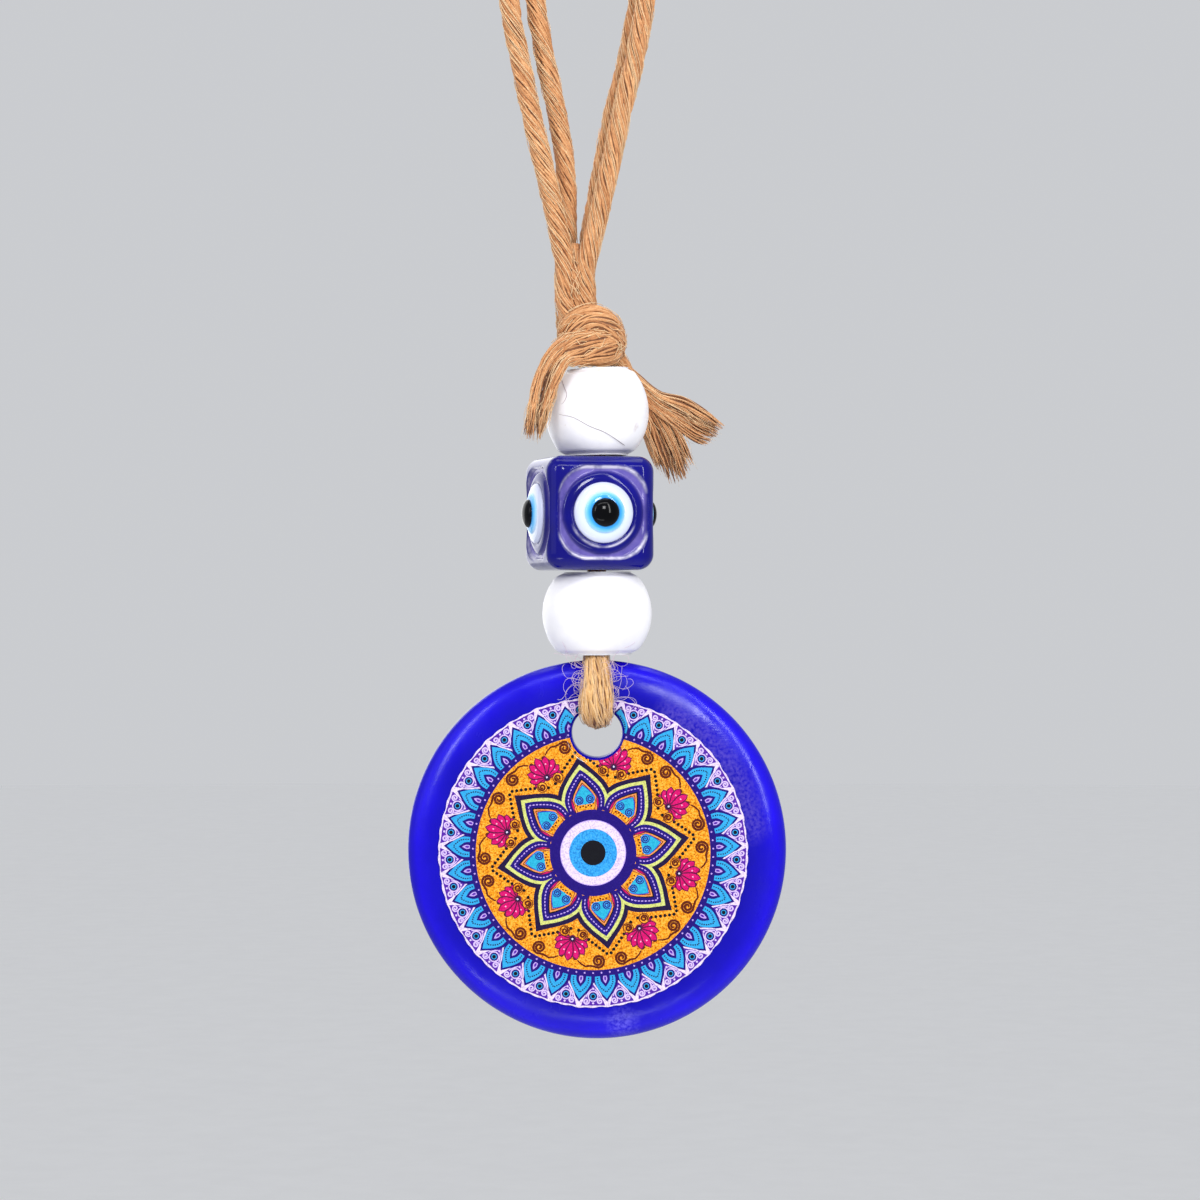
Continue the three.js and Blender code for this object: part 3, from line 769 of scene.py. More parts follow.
def rounded_square(half, corner, straight, bend):
    """Points round a rounded square, from the middle of the corner before the -Y side."""
    inner = half - corner

    def corner_arc(middle, degrees):
        angles = np.radians(degrees)
        return [(middle + corner * math.sin(a), -inner - corner * math.cos(a)) for a in angles]

    points = []
    for side in range(4):
        turn = side * math.pi / 2
        c, s = math.cos(turn), math.sin(turn)
        local = corner_arc(-inner, np.linspace(-45, 0, bend, endpoint=False))
        local += [(u, -half) for u in np.linspace(-inner, inner, straight)]
        local += corner_arc(inner, np.linspace(0, 45, bend, endpoint=False)[1:])
        points += [(x * c - y * s, x * s + y * c) for x, y in local]
    return np.array(points)


def cube_turned(verts):
    c, s = math.cos(CUBE_TURN), math.sin(CUBE_TURN)
    return verts @ np.array([[c, s, 0], [-s, c, 0], [0, 0, 1]]) + CUBE_AT


def make_cube_body():
    straight, bend = 76, 14
    flat = CUBE_HALF_HEIGHT - CUBE_EDGE
    edge = np.radians(np.linspace(0, 90, 20))
    levels = [(CUBE_EDGE - CUBE_EDGE * math.cos(a), flat + CUBE_EDGE * math.sin(a)) for a in edge]
    rows = [(i, -z) for i, z in reversed(levels)]
    rows += [(0.0, z) for z in np.linspace(-flat, flat, 78)[1:-1]] + levels
    rings, pale_sheen, bright = [], [], []
    per_side = straight + 2 * bend - 1
    side_of = np.repeat(np.arange(4), per_side)
    turn = side_of * math.pi / 2
    out = np.stack([np.sin(turn), -np.cos(turn)], axis=1)
    along = np.stack([np.cos(turn), np.sin(turn)], axis=1)
    for inset, z in rows:
        p = rounded_square(CUBE_HALF - inset, CUBE_CORNER - inset, straight, bend)
        across = (p * along).sum(1)
        depth = sunk(across, np.full(len(p), z))
        # Painted light: the groove's glass is marked paler, standing in for light through thin glass and a
        # lavender reflection.
        off_boss = np.clip((np.hypot(across, z) - BOSS_RADIUS + 0.5) * 1.6, 0, 1)
        thin = np.clip(depth / PANEL_DEPTH, 0, 1) ** 2 * off_boss
        pale_sheen.append(thin * 0.85)
        # Painted highlight along the panel's edges, stronger on the front side than on the other three.
        bright.append(painted_edge_highlight(across, np.full(len(p), z)) * np.where(side_of == 0, 1.0, 0.45))
        p = p - out * depth[:, None]
        rings.append(np.column_stack([p, np.full(len(p), z)]))
    bore_x, bore_y = -CUBE_AT[0] * math.cos(CUBE_TURN), CUBE_AT[0] * math.sin(CUBE_TURN)
    bore = np.array([bore_x, bore_y])

    def inward(ring, z, sign):
        made = []
        direction = unit(ring[:, :2] - bore)
        for t in (0.25, 0.5, 0.72, 0.88):
            p = ring[:, :2] * (1 - t) + (bore + direction * (BORE_RADIUS + 0.5)) * t
            made.append(np.column_stack([p, np.full(len(p), z)]))
        for a in np.radians([0, 30, 60, 90]):
            p = bore + direction * (BORE_RADIUS + 0.5 - 0.5 * math.sin(a))
            made.append(np.column_stack([p, np.full(len(p), z - sign * 0.5 * (1 - math.cos(a)))]))
        return made

    top = inward(rings[-1], CUBE_HALF_HEIGHT, 1)
    bottom = inward(rings[0], -CUBE_HALF_HEIGHT, -1)
    rings = list(reversed(bottom)) + rings + top
    count, sides = len(rings), len(rings[0])
    verts = np.vstack(rings)
    ends = np.zeros(len(bottom) * sides), np.zeros(len(top) * sides)
    uvs = np.column_stack([np.concatenate([ends[0], *shade, ends[1]]) for shade in (pale_sheen, bright)])
    faces = []
    for i in range(count):
        faces += ring_quads(i * sides, (i + 1) % count * sides, sides)
    shape = (cube_turned(verts), faces, uvs, None)
    make("cube_glass", "cube_eye_bead", shape, [NAVY], ["cube_bead_body"])


def eye_paint(name, stops, gloss, cloud=0.04):
    """Glass dots: colour rings that run into each other, from the middle (0) to the rim (1)."""
    paint = Paint(name, Roughness=0.09, Specular_IOR_Level=gloss)
    radial = paint.node("SeparateXYZ", Vector=paint.place("UV")).outputs["X"]
    ragged = paint.noise(paint.place(), 900, 3)
    radial = paint.math("ADD", radial, paint.greys(ragged, -cloud, cloud))
    paint.shade(Base_Color=paint.ramp(radial, stops))
    paint.bump(paint.noise(paint.place(), 400, 2), 0.00003, 0.3)
    return paint.material


EYE_WHITE = eye_paint(
    "eye_white", [(0.62, (170, 204, 236)), (0.74, (202, 212, 232)), (1.0, (188, 192, 218))], 0.35
)
EYE_BLUE = eye_paint(
    "eye_light_blue",
    [(0.66, (34, 132, 210)), (0.8, (62, 160, 226)), (0.92, (120, 190, 236)), (1.0, (176, 206, 236))],
    0.35,
)
EYE_BLACK = eye_paint("eye_black", [(0.0, (1, 1, 3)), (0.8, (2, 2, 5)), (1.0, (6, 8, 16))], 0.12)


def dot(profile, sides=72):
    """A round dot that faces -Y: (radius, height) points from the middle out, then down its side."""
    p = np.array(profile, float)
    angle = TURN * np.arange(sides) / sides
    verts = [(0, -p[0][1], 0)]
    uvs = [(0, 0)]
    widest = p[:, 0].max()
    for r, h in p[1:]:
        verts += [(r * math.cos(a), -h, r * math.sin(a)) for a in angle]
        uvs += [(r / widest, h)] * sides
    faces = [(0, 1 + j, 1 + (j + 1) % sides) for j in range(sides)]
    for i in range(len(p) - 2):
        a, b = 1 + i * sides, 1 + (i + 1) * sides
        faces += [(a + j, b + j, b + (j + 1) % sides, a + (j + 1) % sides) for j in range(sides)]
    faces.append(tuple(1 + (len(p) - 2) * sides + j for j in reversed(range(sides))))
    return np.array(verts, float), faces, np.array(uvs, float), None


def make_eyes():
    white = [(0, 0.58), (1.6, 0.6), (2.4, 0.6)] + arc(2.4, 0.0, EYE_RADIUS - 2.4, 0.6, 84, 0, 12)
    white += [(EYE_RADIUS, -0.4), (EYE_RADIUS, -0.8)]
    iris = [(0, 1.02), (1.2, 1.02)] + arc(1.5, 0.52, 1.2, 0.52, 88, 4, 12) + [(2.66, 0.4), (2.6, 0.3)]
    pupil = [(0, 1.86)] + arc(0, 1.0, 1.85, 0.86, 84, 0, 14) + [(1.85, 0.9), (1.8, 0.8)]
    parts = (
        ("white", white, EYE_WHITE, "eye_white_glass"),
        ("iris", iris, EYE_BLUE, "eye_blue_glass"),
        ("pupil", pupil, EYE_BLACK, "eye_black_glass"),
    )
    for side, face in enumerate(("front", "right", "rear", "left")):
        c, s = math.cos(side * math.pi / 2), math.sin(side * math.pi / 2)
        turned = np.array([[c, s, 0], [-s, c, 0], [0, 0, 1]])
        for name, profile, paint, slot in parts:
            verts, faces, uvs, index = dot(profile)
            verts[:, 1] -= CUBE_HALF
            shape = (cube_turned(verts @ turned), faces, uvs, index)
            make(f"eye_{name}_{face}_dot", "cube_eye_bead", shape, [paint], [f"eye_{name}_{face}"])


make_cube_body()
make_eyes()


# ---- Glass disc ----
DISC_Z = -133.375
DISC_RADIUS = 24.8
DISC_HALF = 2.6
DISC_EDGE = 0.45
RIM_START = DISC_RADIUS - 4.6
HOLE_Z = -118.025
HOLE_RADIUS = 3.25
LIP = 1.2
SHEEN_RADIUS = 20.6  # a painted lavender sheen, standing in for a lamp's reflection, lies along this circle on the front
RIM_SMUDGE = (3.3, -2.0, -155.9)


def disc_paint():
    """Cobalt glass with painted light: brighter towards the thin rim, and a painted lavender sheen along the
    front's upper right, with a smudge on its front.
    """
    paint = Paint("cobalt_glass", Specular_IOR_Level=0.22)
    coords = paint.node("TexCoord").outputs["Object"]
    flat = paint.node("VectorMath", {"operation": "MULTIPLY"})
    paint.tree.links.new(coords, flat.inputs[0])
    flat.inputs[1].default_value = (1, 0, 1)
    away = paint.node("VectorMath", {"operation": "DISTANCE"})
    paint.tree.links.new(flat.outputs["Vector"], away.inputs[0])
    away.inputs[1].default_value = (0, 0, DISC_Z * MM)
    swirl = paint.noise(paint.place(), 90, 3)
    from_centre = paint.greys(away.outputs["Value"], 0.0, 1.0, 0.0, DISC_RADIUS * MM)
    # Painted light: the ramp is brighter towards the thin rim, standing in for light passing through the
    # glass there.
    rings = paint.ramp(
        paint.math("ADD", from_centre, paint.greys(swirl, -0.03, 0.03)),
        [
            (0.0, (10, 0, 158)), (0.8, (8, 0, 158)), (0.88, (12, 0, 178)), (0.95, (22, 0, 208)),
            (1.0, (18, 0, 176)),
        ],
    )
    clouds = paint.noise(paint.place(), 160, 4)
    clouds = paint.ramp(clouds, [(0.25, (205, 205, 225)), (0.75, (255, 255, 255))])
    colour = paint.mix(1.0, rings, clouds, "MULTIPLY")
    # Painted sheen: lavender spots along the print's upper right edge stand in for a lamp's reflection on
    # the glass.
    for degrees in range(8, 64, 6):
        a = math.radians(degrees)
        at = (SHEEN_RADIUS * math.cos(a), -DISC_HALF, DISC_Z + SHEEN_RADIUS * math.sin(a))
        colour = paint.mix(paint.spot(at, 2.5, 0.42, 2400), colour, linear((104, 88, 186)))
    smudge = paint.spot(RIM_SMUDGE, 2.6, 0.6, 2400)
    colour = paint.mix(smudge, colour, linear((120, 112, 236)))
    paint.shade(Base_Color=colour)
    smear = paint.noise(paint.place(scale=(1, 1, 0.4)), 300, 5)
    paint.shade(Roughness=paint.greys(smear, 0.12, 0.3, 0.3, 0.7))
    seeds = paint.node("TexVoronoi", Vector=paint.place(), Scale=620.0).outputs["Distance"]
    pits = paint.greys(seeds, -1.0, 0.0, 0.0, 0.14)
    scratch = paint.noise(paint.place(scale=(1, 1, 9)), 500, 2)
    surface = paint.math("ADD", paint.noise(paint.place(), 210, 3), paint.math("MULTIPLY", pits, 0.3))
    paint.bump(paint.math("ADD", surface, paint.math("MULTIPLY", scratch, 0.15)), 0.00008, 0.6)
    return paint.material


def make_disc():
    outer_n, hole_n = 192, 72
    flat_r = RIM_START - 0.25
    hole_r = HOLE_RADIUS + LIP + 0.2
    up = HOLE_Z - DISC_Z
    outer = TURN * np.arange(outer_n) / outer_n
    inner = TURN * np.arange(hole_n) / hole_n
    flat_outer = np.column_stack([flat_r * np.cos(outer), flat_r * np.sin(outer)])
    flat_inner = np.column_stack([hole_r * np.cos(inner), up + hole_r * np.sin(inner)])
    points = [Vector(p) for p in np.vstack([flat_outer, flat_inner])]
    loops = [list(range(outer_n)), list(range(outer_n, outer_n + hole_n))]
    made = geometry.delaunay_2d_cdt(points, [], loops, 1, 1e-6, True)
    flat = [f for f, of in zip(made[2], made[5]) if of and max(of) == 0]
    place = np.array([tuple(p) for p in made[0]])
    order = {was: i for i, origins in enumerate(made[3]) for was in origins}
    outer_ids = [order[i] for i in loops[0]]
    inner_ids = [order[i] for i in loops[1]]

    count = len(place)
    verts = [(x, -DISC_HALF, z) for x, z in place] + [(x, DISC_HALF, z) for x, z in place]
    faces = []
    for f in flat:
        a, b, c = (place[i] for i in f)
        f = list(f) if np.cross(b - a, c - a) > 0 else list(reversed(f))
        faces.append(f)
        faces.append([i + count for i in reversed(f)])

    def strip(profile, angle, height, ids_front, ids_back, flip):
        rings = [ids_front]
        for r, y in profile:
            base = len(verts)
            verts.extend((r * math.cos(a), y, height + r * math.sin(a)) for a in angle)
            rings.append([base + j for j in range(len(angle))])
        rings.append(ids_back)
        n = len(angle)
        for a, b in zip(rings, rings[1:]):
            for j in range(n):
                quad = [a[j], a[(j + 1) % n], b[(j + 1) % n], b[j]]
                faces.append(quad[::-1] if flip else quad)

    depth = DISC_HALF - DISC_EDGE
    front = arc(RIM_START, DISC_EDGE, DISC_RADIUS - RIM_START, depth, 90, 0, 18)
    profile = [(r, -y) for r, y in front] + [(r, y) for r, y in reversed(front)]
    strip(profile, outer, 0.0, outer_ids, [i + count for i in outer_ids], True)
    lip = arc(HOLE_RADIUS + LIP, DISC_HALF - LIP, LIP, LIP, 90, 180, 10)
    profile = [(r, -y) for r, y in lip] + [(r, y) for r, y in reversed(lip)]
    strip(profile, inner, up, inner_ids, [i + count for i in inner_ids], False)
    verts = np.array(verts) + (0, 0, DISC_Z)
    make("disc_glass", "disc", (verts, faces, None, None), [disc_paint()], ["glass_disc"])


make_disc()


# ---- Printed medallion ----
PRINT_AT = (-0.5, -133.675)
PRINT_FRONT = -2.77
PRINT_DEPTH = 0.13
PRINT_HOLE = 3.6
INKS = {
    "white": ((232, 228, 250), 0.45),
    "lilac": ((190, 170, 240), 0.1),
    "violet": ((82, 34, 164), 0.2),
    "pearl": ((216, 204, 246), 0.1),
    "navy": ((26, 2, 118), 0.15),
    "deep": ((24, 8, 58), 0.2),
    "black": ((6, 8, 18), 0.1),
    "sky": ((40, 168, 238), 0.55),
    "cyan": ((44, 176, 230), 0.2),
    "turquoise": ((34, 186, 216), 0.3),
    "blue": ((34, 62, 196), 0.2),
    "orange": ((252, 168, 8), 1.0),
    "peach": ((240, 158, 78), 0.4),
    "lime": ((212, 232, 122), 0.5),
    "magenta": ((214, 0, 106), 0.35),
    "plum": ((96, 4, 62), 0.3),
    "pink": ((248, 186, 214), 0.2),
    "brown": ((92, 26, 4), 0.3),
}
INK_ORDER = list(INKS)
INK_DEPTH = (0.91, 0.86, 0.9)


def ink_paint(name, rgb, mottle):
    """Printed ink under a thin clear coat, with the fine mottle of the print."""
    paint = Paint(
        f"ink_{name}", Roughness=0.2, Specular_IOR_Level=0.1, Coat_Weight=0.35, Coat_Roughness=0.04
    )
    grain = paint.noise(paint.place(), 4800, 3, 0.6)
    rgb = np.array(rgb, float) * INK_DEPTH
    low = rgb * (1 - 0.32 * mottle) - np.array([0, 18, 0]) * mottle
    high = rgb + (255 - rgb) * 0.26 * mottle
    base = paint.ramp(grain, [(0.36, np.clip(low, 0, 255)), (0.5, rgb), (0.66, np.clip(high, 0, 255))])
    paint.shade(Base_Color=base)
    paint.bump(paint.noise(paint.place(), 1500, 3), 0.000006, 0.5)
    return paint.material


def around(points, turn):
    """Points about the print's middle, where +Y is outwards, turned clockwise."""
    c, s = math.cos(turn), math.sin(turn)
    return [(x * c + y * s, -x * s + y * c) for x, y in points]


def put(shapes, ink, turn, outline):
    """Adds an outline in one ink, turned about the print's middle."""
    shapes.append((ink, around(outline, turn)))


def signed_area(outline):
    x, y = np.array(outline, float).T
    return 0.5 * float((x * np.roll(y, -1) - y * np.roll(x, -1)).sum())


def round_dot(x, y, r, n=7):
    return [(x + r * math.cos(TURN * i / n), y + r * math.sin(TURN * i / n)) for i in range(n)]


def mirrored(half):
    """A closed outline from (height, half width) points that run up to a tip."""
    line = curve(half, 0.22)
    left = [(-w, p) for p, w in line[:-1]]
    return left + [(0, line[-1][0])] + [(w, p) for p, w in line[:-1][::-1]]


def stroke(points, width):
    """The outline of a line of that width, thinner at its ends."""
    p = np.array(points, float)
    t = unit(np.gradient(p, axis=0))
    n = np.column_stack([-t[:, 1], t[:, 0]])
    w = width / 2 * np.interp(np.linspace(0, 1, len(p)), [0, 0.15, 0.85, 1], [0.55, 1, 1, 0.55])[:, None]
    return [tuple(q) for q in np.vstack([p + n * w, (p - n * w)[::-1]])]


def spiral(x, y, radius, turns, start, width, hand=1, tail=()):
    angle = np.linspace(0, TURN * turns, int(13 * turns))
    r = radius * (0.16 + 0.84 * angle / angle[-1])
    angle = start + hand * angle
    line = [(x + q * math.cos(a), y + q * math.sin(a)) for q, a in zip(r, angle)]
    return stroke(line + list(tail), width)


STAR = {
    "deep": [(5.3, 3.3), (7.2, 3.5), (8.8, 3.1), (10.3, 2.05), (11.5, 1.0), (12.7, 0)],
    "lime": [(5.3, 2.75), (7.1, 3.0), (8.55, 2.56), (9.85, 1.7), (10.8, 0.84), (11.65, 0)],
    "navy": [(5.3, 2.25), (6.9, 2.62), (8.3, 2.24), (9.5, 1.42), (10.3, 0.74), (11.0, 0)],
    "black": [(5.3, 1.4), (6.7, 1.72), (7.8, 1.44), (8.7, 0.9), (9.3, 0.48), (9.85, 0)],
    "peach": [(5.3, 1.3), (6.7, 1.6), (7.7, 1.34), (8.55, 0.82), (9.1, 0.42), (9.6, 0)],
}
STAR_TURN = math.radians(-9)


def star_shapes(shapes):
    turns = [STAR_TURN + TURN * k / 8 for k in range(8)]
    for ink, half in STAR.items():
        for turn in turns:
            put(shapes, ink, turn, mirrored(half))
    between = [((a[0] + b[0]) / 2, (a[1] + b[1]) / 2) for a, b in zip(STAR["navy"], STAR["black"])]
    dash_line = curve(between, 0.46)
    row = curve([(p + 0.25, w + 0.72) for p, w in STAR["deep"][1:-1]] + [(13.25, 0.28)], 0.62)
    for turn in turns:
        for side in (-1, 1):
            for a, b in zip(dash_line[1:], dash_line[2:]):
                middle, reach = (a + b) / 2, (b - a) * 0.32
                ends = [(side * q[1], q[0]) for q in (middle - reach, middle, middle + reach)]
                put(shapes, "lilac", turn, stroke(ends, 0.17))
            for p, w in row:
                if w > 0.4 * p:
                    continue
                put(shapes, "black", turn, round_dot(side * w, p, 0.23, 7))
            crescent = [(5.5, 1.5), (6.3, 1.78), (7.1, 1.8), (7.6, 1.62), (7.0, 1.52), (6.3, 1.42)]
            crescent = [(side * w, p) for p, w in crescent]
            put(shapes, "plum", turn, crescent)
            inner = [(side * w, p) for p, w in [(5.7, 1.55), (6.4, 1.72), (7.1, 1.7), (6.4, 1.52)]]
            put(shapes, "magenta", turn, inner)
        ground = mirrored([(5.3, 1.1), (6.7, 1.4), (7.6, 1.18), (8.4, 0.7), (8.9, 0.34), (9.3, 0)])
        put(shapes, "brown", turn, ground)
        base = mirrored([(5.3, 1.0), (6.6, 1.32), (7.5, 1.1), (8.3, 0.62), (8.8, 0.28), (9.15, 0)])
        put(shapes, "orange", turn, base)
        dots = [(0, 6.05), (-0.35, 6.2), (0.35, 6.2), (-0.75, 6.1), (0.75, 6.1), (-1.05, 6.45), (1.05, 6.45)]
        for x, y in dots + [(0, 6.4)]:
            put(shapes, "brown", turn, round_dot(x, y, 0.13, 6))
        heart = [(6.4, 0.3), (6.6, 0.85), (7.1, 1.24), (7.7, 0.98), (8.3, 0.54), (8.85, 0)]
        heart_edge = [(p, w + 0.14) for p, w in heart[:-1]] + [(9.02, 0)]
        put(shapes, "blue", turn, mirrored(heart_edge))
        put(shapes, "turquoise", turn, mirrored(heart))
        for side in (-1, 1):
            put(shapes, "sky", turn, round_dot(side * 0.72, 6.98, 0.6, 14))
            put(shapes, "navy", turn, spiral(side * 0.72, 6.98, 0.58, 2.1, math.pi / 2, 0.15, -side))


def flower_shapes(shapes):
    for k in range(8):
        turn = STAR_TURN + TURN * (k + 0.5) / 8
        pairs = [(98, 1.9), (74, 2.2), (50, 2.5), (25, 2.7)]
        fan = [(side * degrees, reach) for degrees, reach in pairs for side in (-1, 1)] + [(0, 2.85)]
        for degrees, reach in fan:
            leaf = [(0.45, 0.05), (0.9, 0.19), (reach * 0.62, 0.41), (reach * 0.86, 0.33), (reach, 0)]
            for ink, grow in (("plum", 0.17), ("magenta", 0.0)):
                half = [(p + (grow if not w else 0), w + (grow if w else 0)) for p, w in leaf]
                petal = around(mirrored(half), math.radians(degrees))
                put(shapes, ink, turn, [(x, y + 11.5) for x, y in petal])
            spark = [(x, y + reach * 0.66) for x, y in round_dot(0, 0, 0.12, 5)]
            spark = around(spark, math.radians(degrees))
            put(shapes, "pink", turn, [(x, y + 11.5) for x, y in spark])
        for side in (-1, 1):
            x, y = side * 1.2, 10.75
            put(shapes, "brown", turn, round_dot(x, y, 0.72, 14))
            put(shapes, "orange", turn, round_dot(x, y, 0.6, 14))
            put(shapes, "brown", turn, spiral(x, y, 0.5, 1.6, 0.4 + side, 0.25, side))
        put(shapes, "plum", turn, round_dot(0, 11.5, 0.5, 10))
        put(shapes, "deep", turn, round_dot(0, 11.5, 0.34, 9))
        put(shapes, "white", turn, round_dot(0, 11.55, 0.14, 6))


def scroll_shapes(shapes):
    for k in range(8):
        for side in (-1, 1):
            turn = STAR_TURN + TURN * k / 8 + side * math.radians(6.3)
            tail = [(side * 1.0, 14.7), (side * 1.7, 14.75), (side * 2.3, 14.35), (side * 2.7, 13.9)]
            put(shapes, "brown", turn, spiral(0, 14.15, 0.85, 2.0, math.pi / 2, 0.32, -side, tail))
            put(shapes, "brown", turn, round_dot(side * 3.0, 13.6, 0.3, 8))


REPEATS = 33


def border_shapes(shapes):
    step = TURN / REPEATS
    lumpy = []
    for i in range(REPEATS * 10):
        a = TURN * i / (REPEATS * 10)
        r = 20.06 + 0.16 * abs(math.cos(REPEATS * a)) + 0.06 * math.sin(7 * a + 1) * math.sin(23 * a)
        lumpy.append((r * math.sin(a), r * math.cos(a)))
    shapes.append(("white", lumpy))
    shapes.append(("navy", round_dot(0, 0, 17.6, 132)))
    for k in range(REPEATS):
        turn = k * step
        between = turn + step / 2
        for ink, half in (
            ("navy", [(15.8, 1.72), (17.1, 1.62), (18.2, 1.0), (19.5, 0)]),
            ("cyan", [(16.1, 1.3), (17.0, 1.3), (18.0, 0.84), (19.1, 0)]),
        ):
            put(shapes, ink, turn, mirrored(half))
        for p, w in curve([(16.35, 0.98), (17.0, 0.95), (17.6, 0.66), (18.15, 0.12)], 0.3):
            for side in (-1, 1):
                put(shapes, "deep", turn, round_dot(side * w, p, 0.11, 5))
        for ink, half in (
            ("navy", [(15.9, 0.66), (16.7, 0.6), (17.15, 0.32), (17.55, 0)]),
            ("lilac", [(16.1, 0.2), (16.5, 0.28), (16.9, 0.13), (17.1, 0)]),
            ("violet", [(16.2, 0.08), (16.5, 0.15), (16.75, 0)]),
        ):
            put(shapes, ink, turn, mirrored(half))
        wedge = [(0, 16.8), (1.02, 18.3), (1.8, 20.02), (-1.8, 20.02), (-1.02, 18.3)]
        put(shapes, "white", between, wedge)
        inner = [(0, 17.16), (0.92, 18.44), (1.6, 19.92), (-1.6, 19.92), (-0.92, 18.44)]
        put(shapes, "violet", between, inner)
        for side in (-1, 1):
            put(shapes, "pearl", between, spiral(side * 0.9, 19.36, 0.44, 1.5, 0.5, 0.2, side))
            leaf = [(side * 0.2, 17.75), (side * 0.5, 18.1), (side * 0.86, 18.62), (side * 0.95, 18.85)]
            put(shapes, "pearl", between, stroke(leaf, 0.17))
        for ink, r in (("pearl", 0.72), ("navy", 0.56), ("cyan", 0.36), ("black", 0.26)):
            put(shapes, ink, between, round_dot(0, 18.72, r, 10))
        for x, y, r in [(0, 17.72, 0.16), (0, 19.62, 0.15)]:
            put(shapes, "pearl", between, round_dot(x, y, r, 6))


def medallion_shapes():
    """The print's flat shapes, each over those before it, about the print's middle."""
    shapes = []
    border_shapes(shapes)
    shapes.append(("navy", round_dot(0, 0, 16.05, 160)))
    for k in range(90):
        put(shapes, "lilac", TURN * k / 90, round_dot(0, 15.68, 0.13, 5))
    shapes.append(("orange", round_dot(0, 0, 15.3, 160)))
    scroll_shapes(shapes)
    star_shapes(shapes)
    flower_shapes(shapes)
    for ink, r in (("navy", 5.65), ("lilac", 4.3), ("white", 4.2), ("sky", 3.12), ("black", 1.63)):
        shapes.append((ink, round_dot(0, 0, r, 96)))
    return shapes


def make_medallion():
    shapes = medallion_shapes()
    hole = round_dot(-PRINT_AT[0], HOLE_Z - PRINT_AT[1], PRINT_HOLE, 72)
    points, loops = [], []
    for _, outline in shapes + [("hole", hole)]:
        loop = list(range(len(points), len(points) + len(outline)))
        loops.append(loop if signed_area(outline) > 0 else loop[::-1])
        points += [Vector(p) for p in outline]
    edges = []
    for r in np.linspace(PRINT_HOLE, HOLE_RADIUS + LIP + 0.1, 7)[1:]:
        first = len(points)
        points += [Vector(p) for p in round_dot(-PRINT_AT[0], HOLE_Z - PRINT_AT[1], r, 72)]
        edges += [(first + i, first + (i + 1) % 72) for i in range(72)]
    made = geometry.delaunay_2d_cdt(points, edges, loops, 1, 1e-4, True)
    place = np.array([tuple(p) for p in made[0]])
    faces, index = [], []
    for face, inside in zip(made[2], made[5]):
        top = max(inside, default=len(shapes))
        if top == len(shapes):
            continue
        a, b, c = (place[i] for i in face[:3])
        faces.append(list(face) if np.cross(b - a, c - a) > 0 else list(face)[::-1])
        index.append(INK_ORDER.index(shapes[top][0]))
    used = sorted({i for f in faces for i in f})
    new = {old: i for i, old in enumerate(used)}
    faces = [[new[i] for i in f] for f in faces]
    place = place[used] + PRINT_AT
    from_hole = np.hypot(place[:, 0], place[:, 1] - HOLE_Z)
    into_lip = np.clip(HOLE_RADIUS + LIP - from_hole, 0, LIP)
    sink = LIP - np.sqrt(LIP**2 - into_lip**2)
    verts = [(x, PRINT_FRONT + d, z) for (x, z), d in zip(place, sink)]
    one_way = {(a, b) for face in faces for a, b in zip(face, face[1:] + face[:1])}
    for a, b in sorted(e for e in one_way if e[::-1] not in one_way):
        first = len(verts)
        for i in (a, b):
            x, y, z = verts[i]
            verts += [(x, y, z), (x, y + PRINT_DEPTH, z)]
        faces.append([first + 2, first, first + 1, first + 3])
        index.append(0)
    paints = [ink_paint(name, *INKS[name]) for name in INK_ORDER]
    shape = (np.array(verts), faces, None, index)
    make("medallion_print", "disc", shape, paints, ["printed_medallion"])


make_medallion()


# ---- Lint and hairs on the beads ----
def on_upper_bead(points, lift=0.04):
    """A line on the front of the upper bead, through points given as (x, z)."""
    line = curve(points, 0.3)
    girth = upper_bead_radius(line[:, 1])
    return np.column_stack([line[:, 0], -np.sqrt(girth**2 - line[:, 0] ** 2) - lift, line[:, 1]])


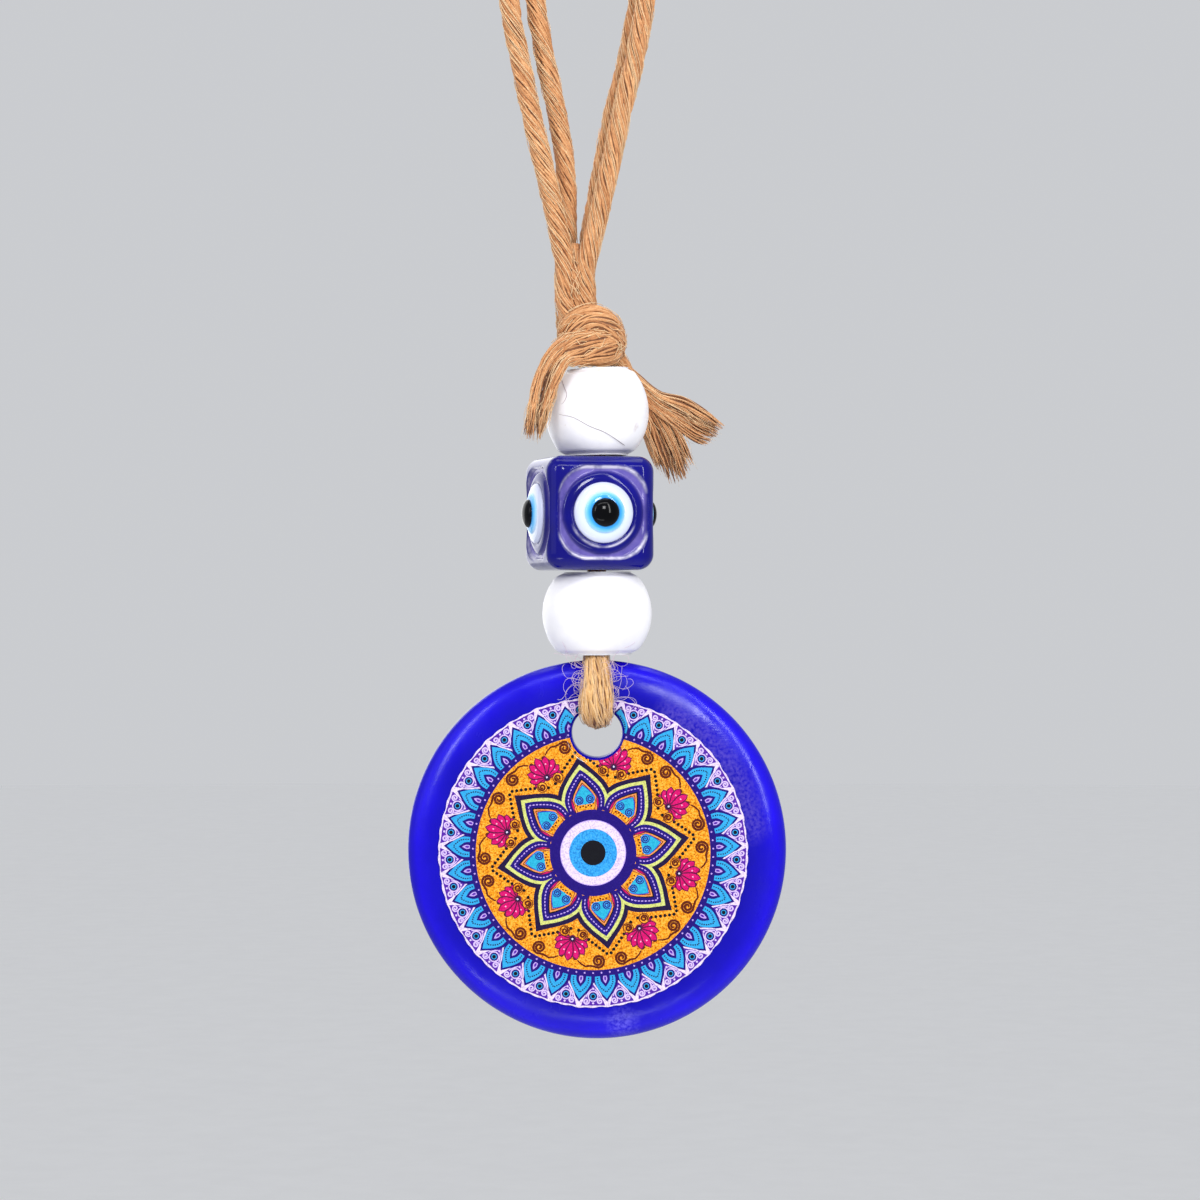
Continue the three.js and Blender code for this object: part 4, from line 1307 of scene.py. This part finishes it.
def make_strays():
    long_hair = on_upper_bead([(-4.9, -76.6), (-3.0, -77.1), (-1.0, -78.2), (1.2, -79.1), (3.6, -80.6)])
    curl = on_upper_bead([(-4.6, -72.0), (-4.2, -73.2), (-3.9, -74.1), (-4.2, -74.9), (-4.6, -75.3)])
    verts, faces, uvs, _ = joined(*[tubes(line[None], 0.035, 5) for line in (long_hair, curl)])
    make("lint_on_upper_bead", "upper_white_bead", (verts, faces, uvs, None), [HAIR])


make_strays()


# ---- Studio ----
def make_floor():
    n = 96
    floor_z = -620.0
    verts = [(0, 0, floor_z)] + [(x, y, floor_z) for x, y in round_dot(0, 0, 9000, n)]
    faces = [(0, 1 + i, 1 + (i + 1) % n) for i in range(n)]
    paint = Paint("floor", Roughness=0.9)
    grain = paint.noise(paint.place(), 30, 3)
    paint.shade(Base_Color=paint.ramp(grain, [(0.3, (252, 252, 252)), (0.7, (255, 255, 255))]))
    mesh = bpy.data.meshes.new("floor")
    mesh.from_pydata((np.array(verts) * MM).tolist(), [], faces)
    mesh.materials.append(paint.material)
    floor = bpy.data.objects.new("floor", mesh)
    bpy.context.scene.collection.objects.link(floor)


def softbox(name, place, aim, size, power):
    data = bpy.data.lights.new(name, "AREA")
    data.shape = "RECTANGLE"
    data.size, data.size_y = size[0] * MM, size[1] * MM
    data.energy = power
    light = bpy.data.objects.new(name, data)
    light.location = Vector(place) * MM
    towards = (Vector(aim) - Vector(place)) * MM
    light.rotation_euler = towards.to_track_quat("-Z", "Y").to_euler()
    bpy.context.scene.collection.objects.link(light)


def make_studio():
    make_floor()
    middle = (0, 0, -95)
    softbox("key", (190, -600, 150), middle, (130, 130), 1.6)
    softbox("strip_right", (360, -430, 90), middle, (50, 380), 1.1)
    softbox("strip_left", (-360, -430, 130), middle, (50, 260), 0.7)
    softbox("left", (-420, -300, 120), middle, (420, 520), 0.35)
    softbox("strip_high", (60, -400, 340), middle, (560, 60), 0.9)
    softbox("strip_low", (-60, -460, -430), middle, (440, 50), 0.35)
    softbox("top", (0, 60, 420), middle, (420, 300), 0.9)
    softbox("back", (-260, 420, 60), middle, (500, 600), 1.3)
    world = bpy.data.worlds.new("studio")
    world.use_nodes = True
    background = world.node_tree.nodes["Background"]
    background.inputs["Color"].default_value = linear((226, 228, 232))
    background.inputs["Strength"].default_value = 0.78
    scene = bpy.context.scene
    scene.world = world
    scene.view_settings.view_transform = "Standard"


make_studio()
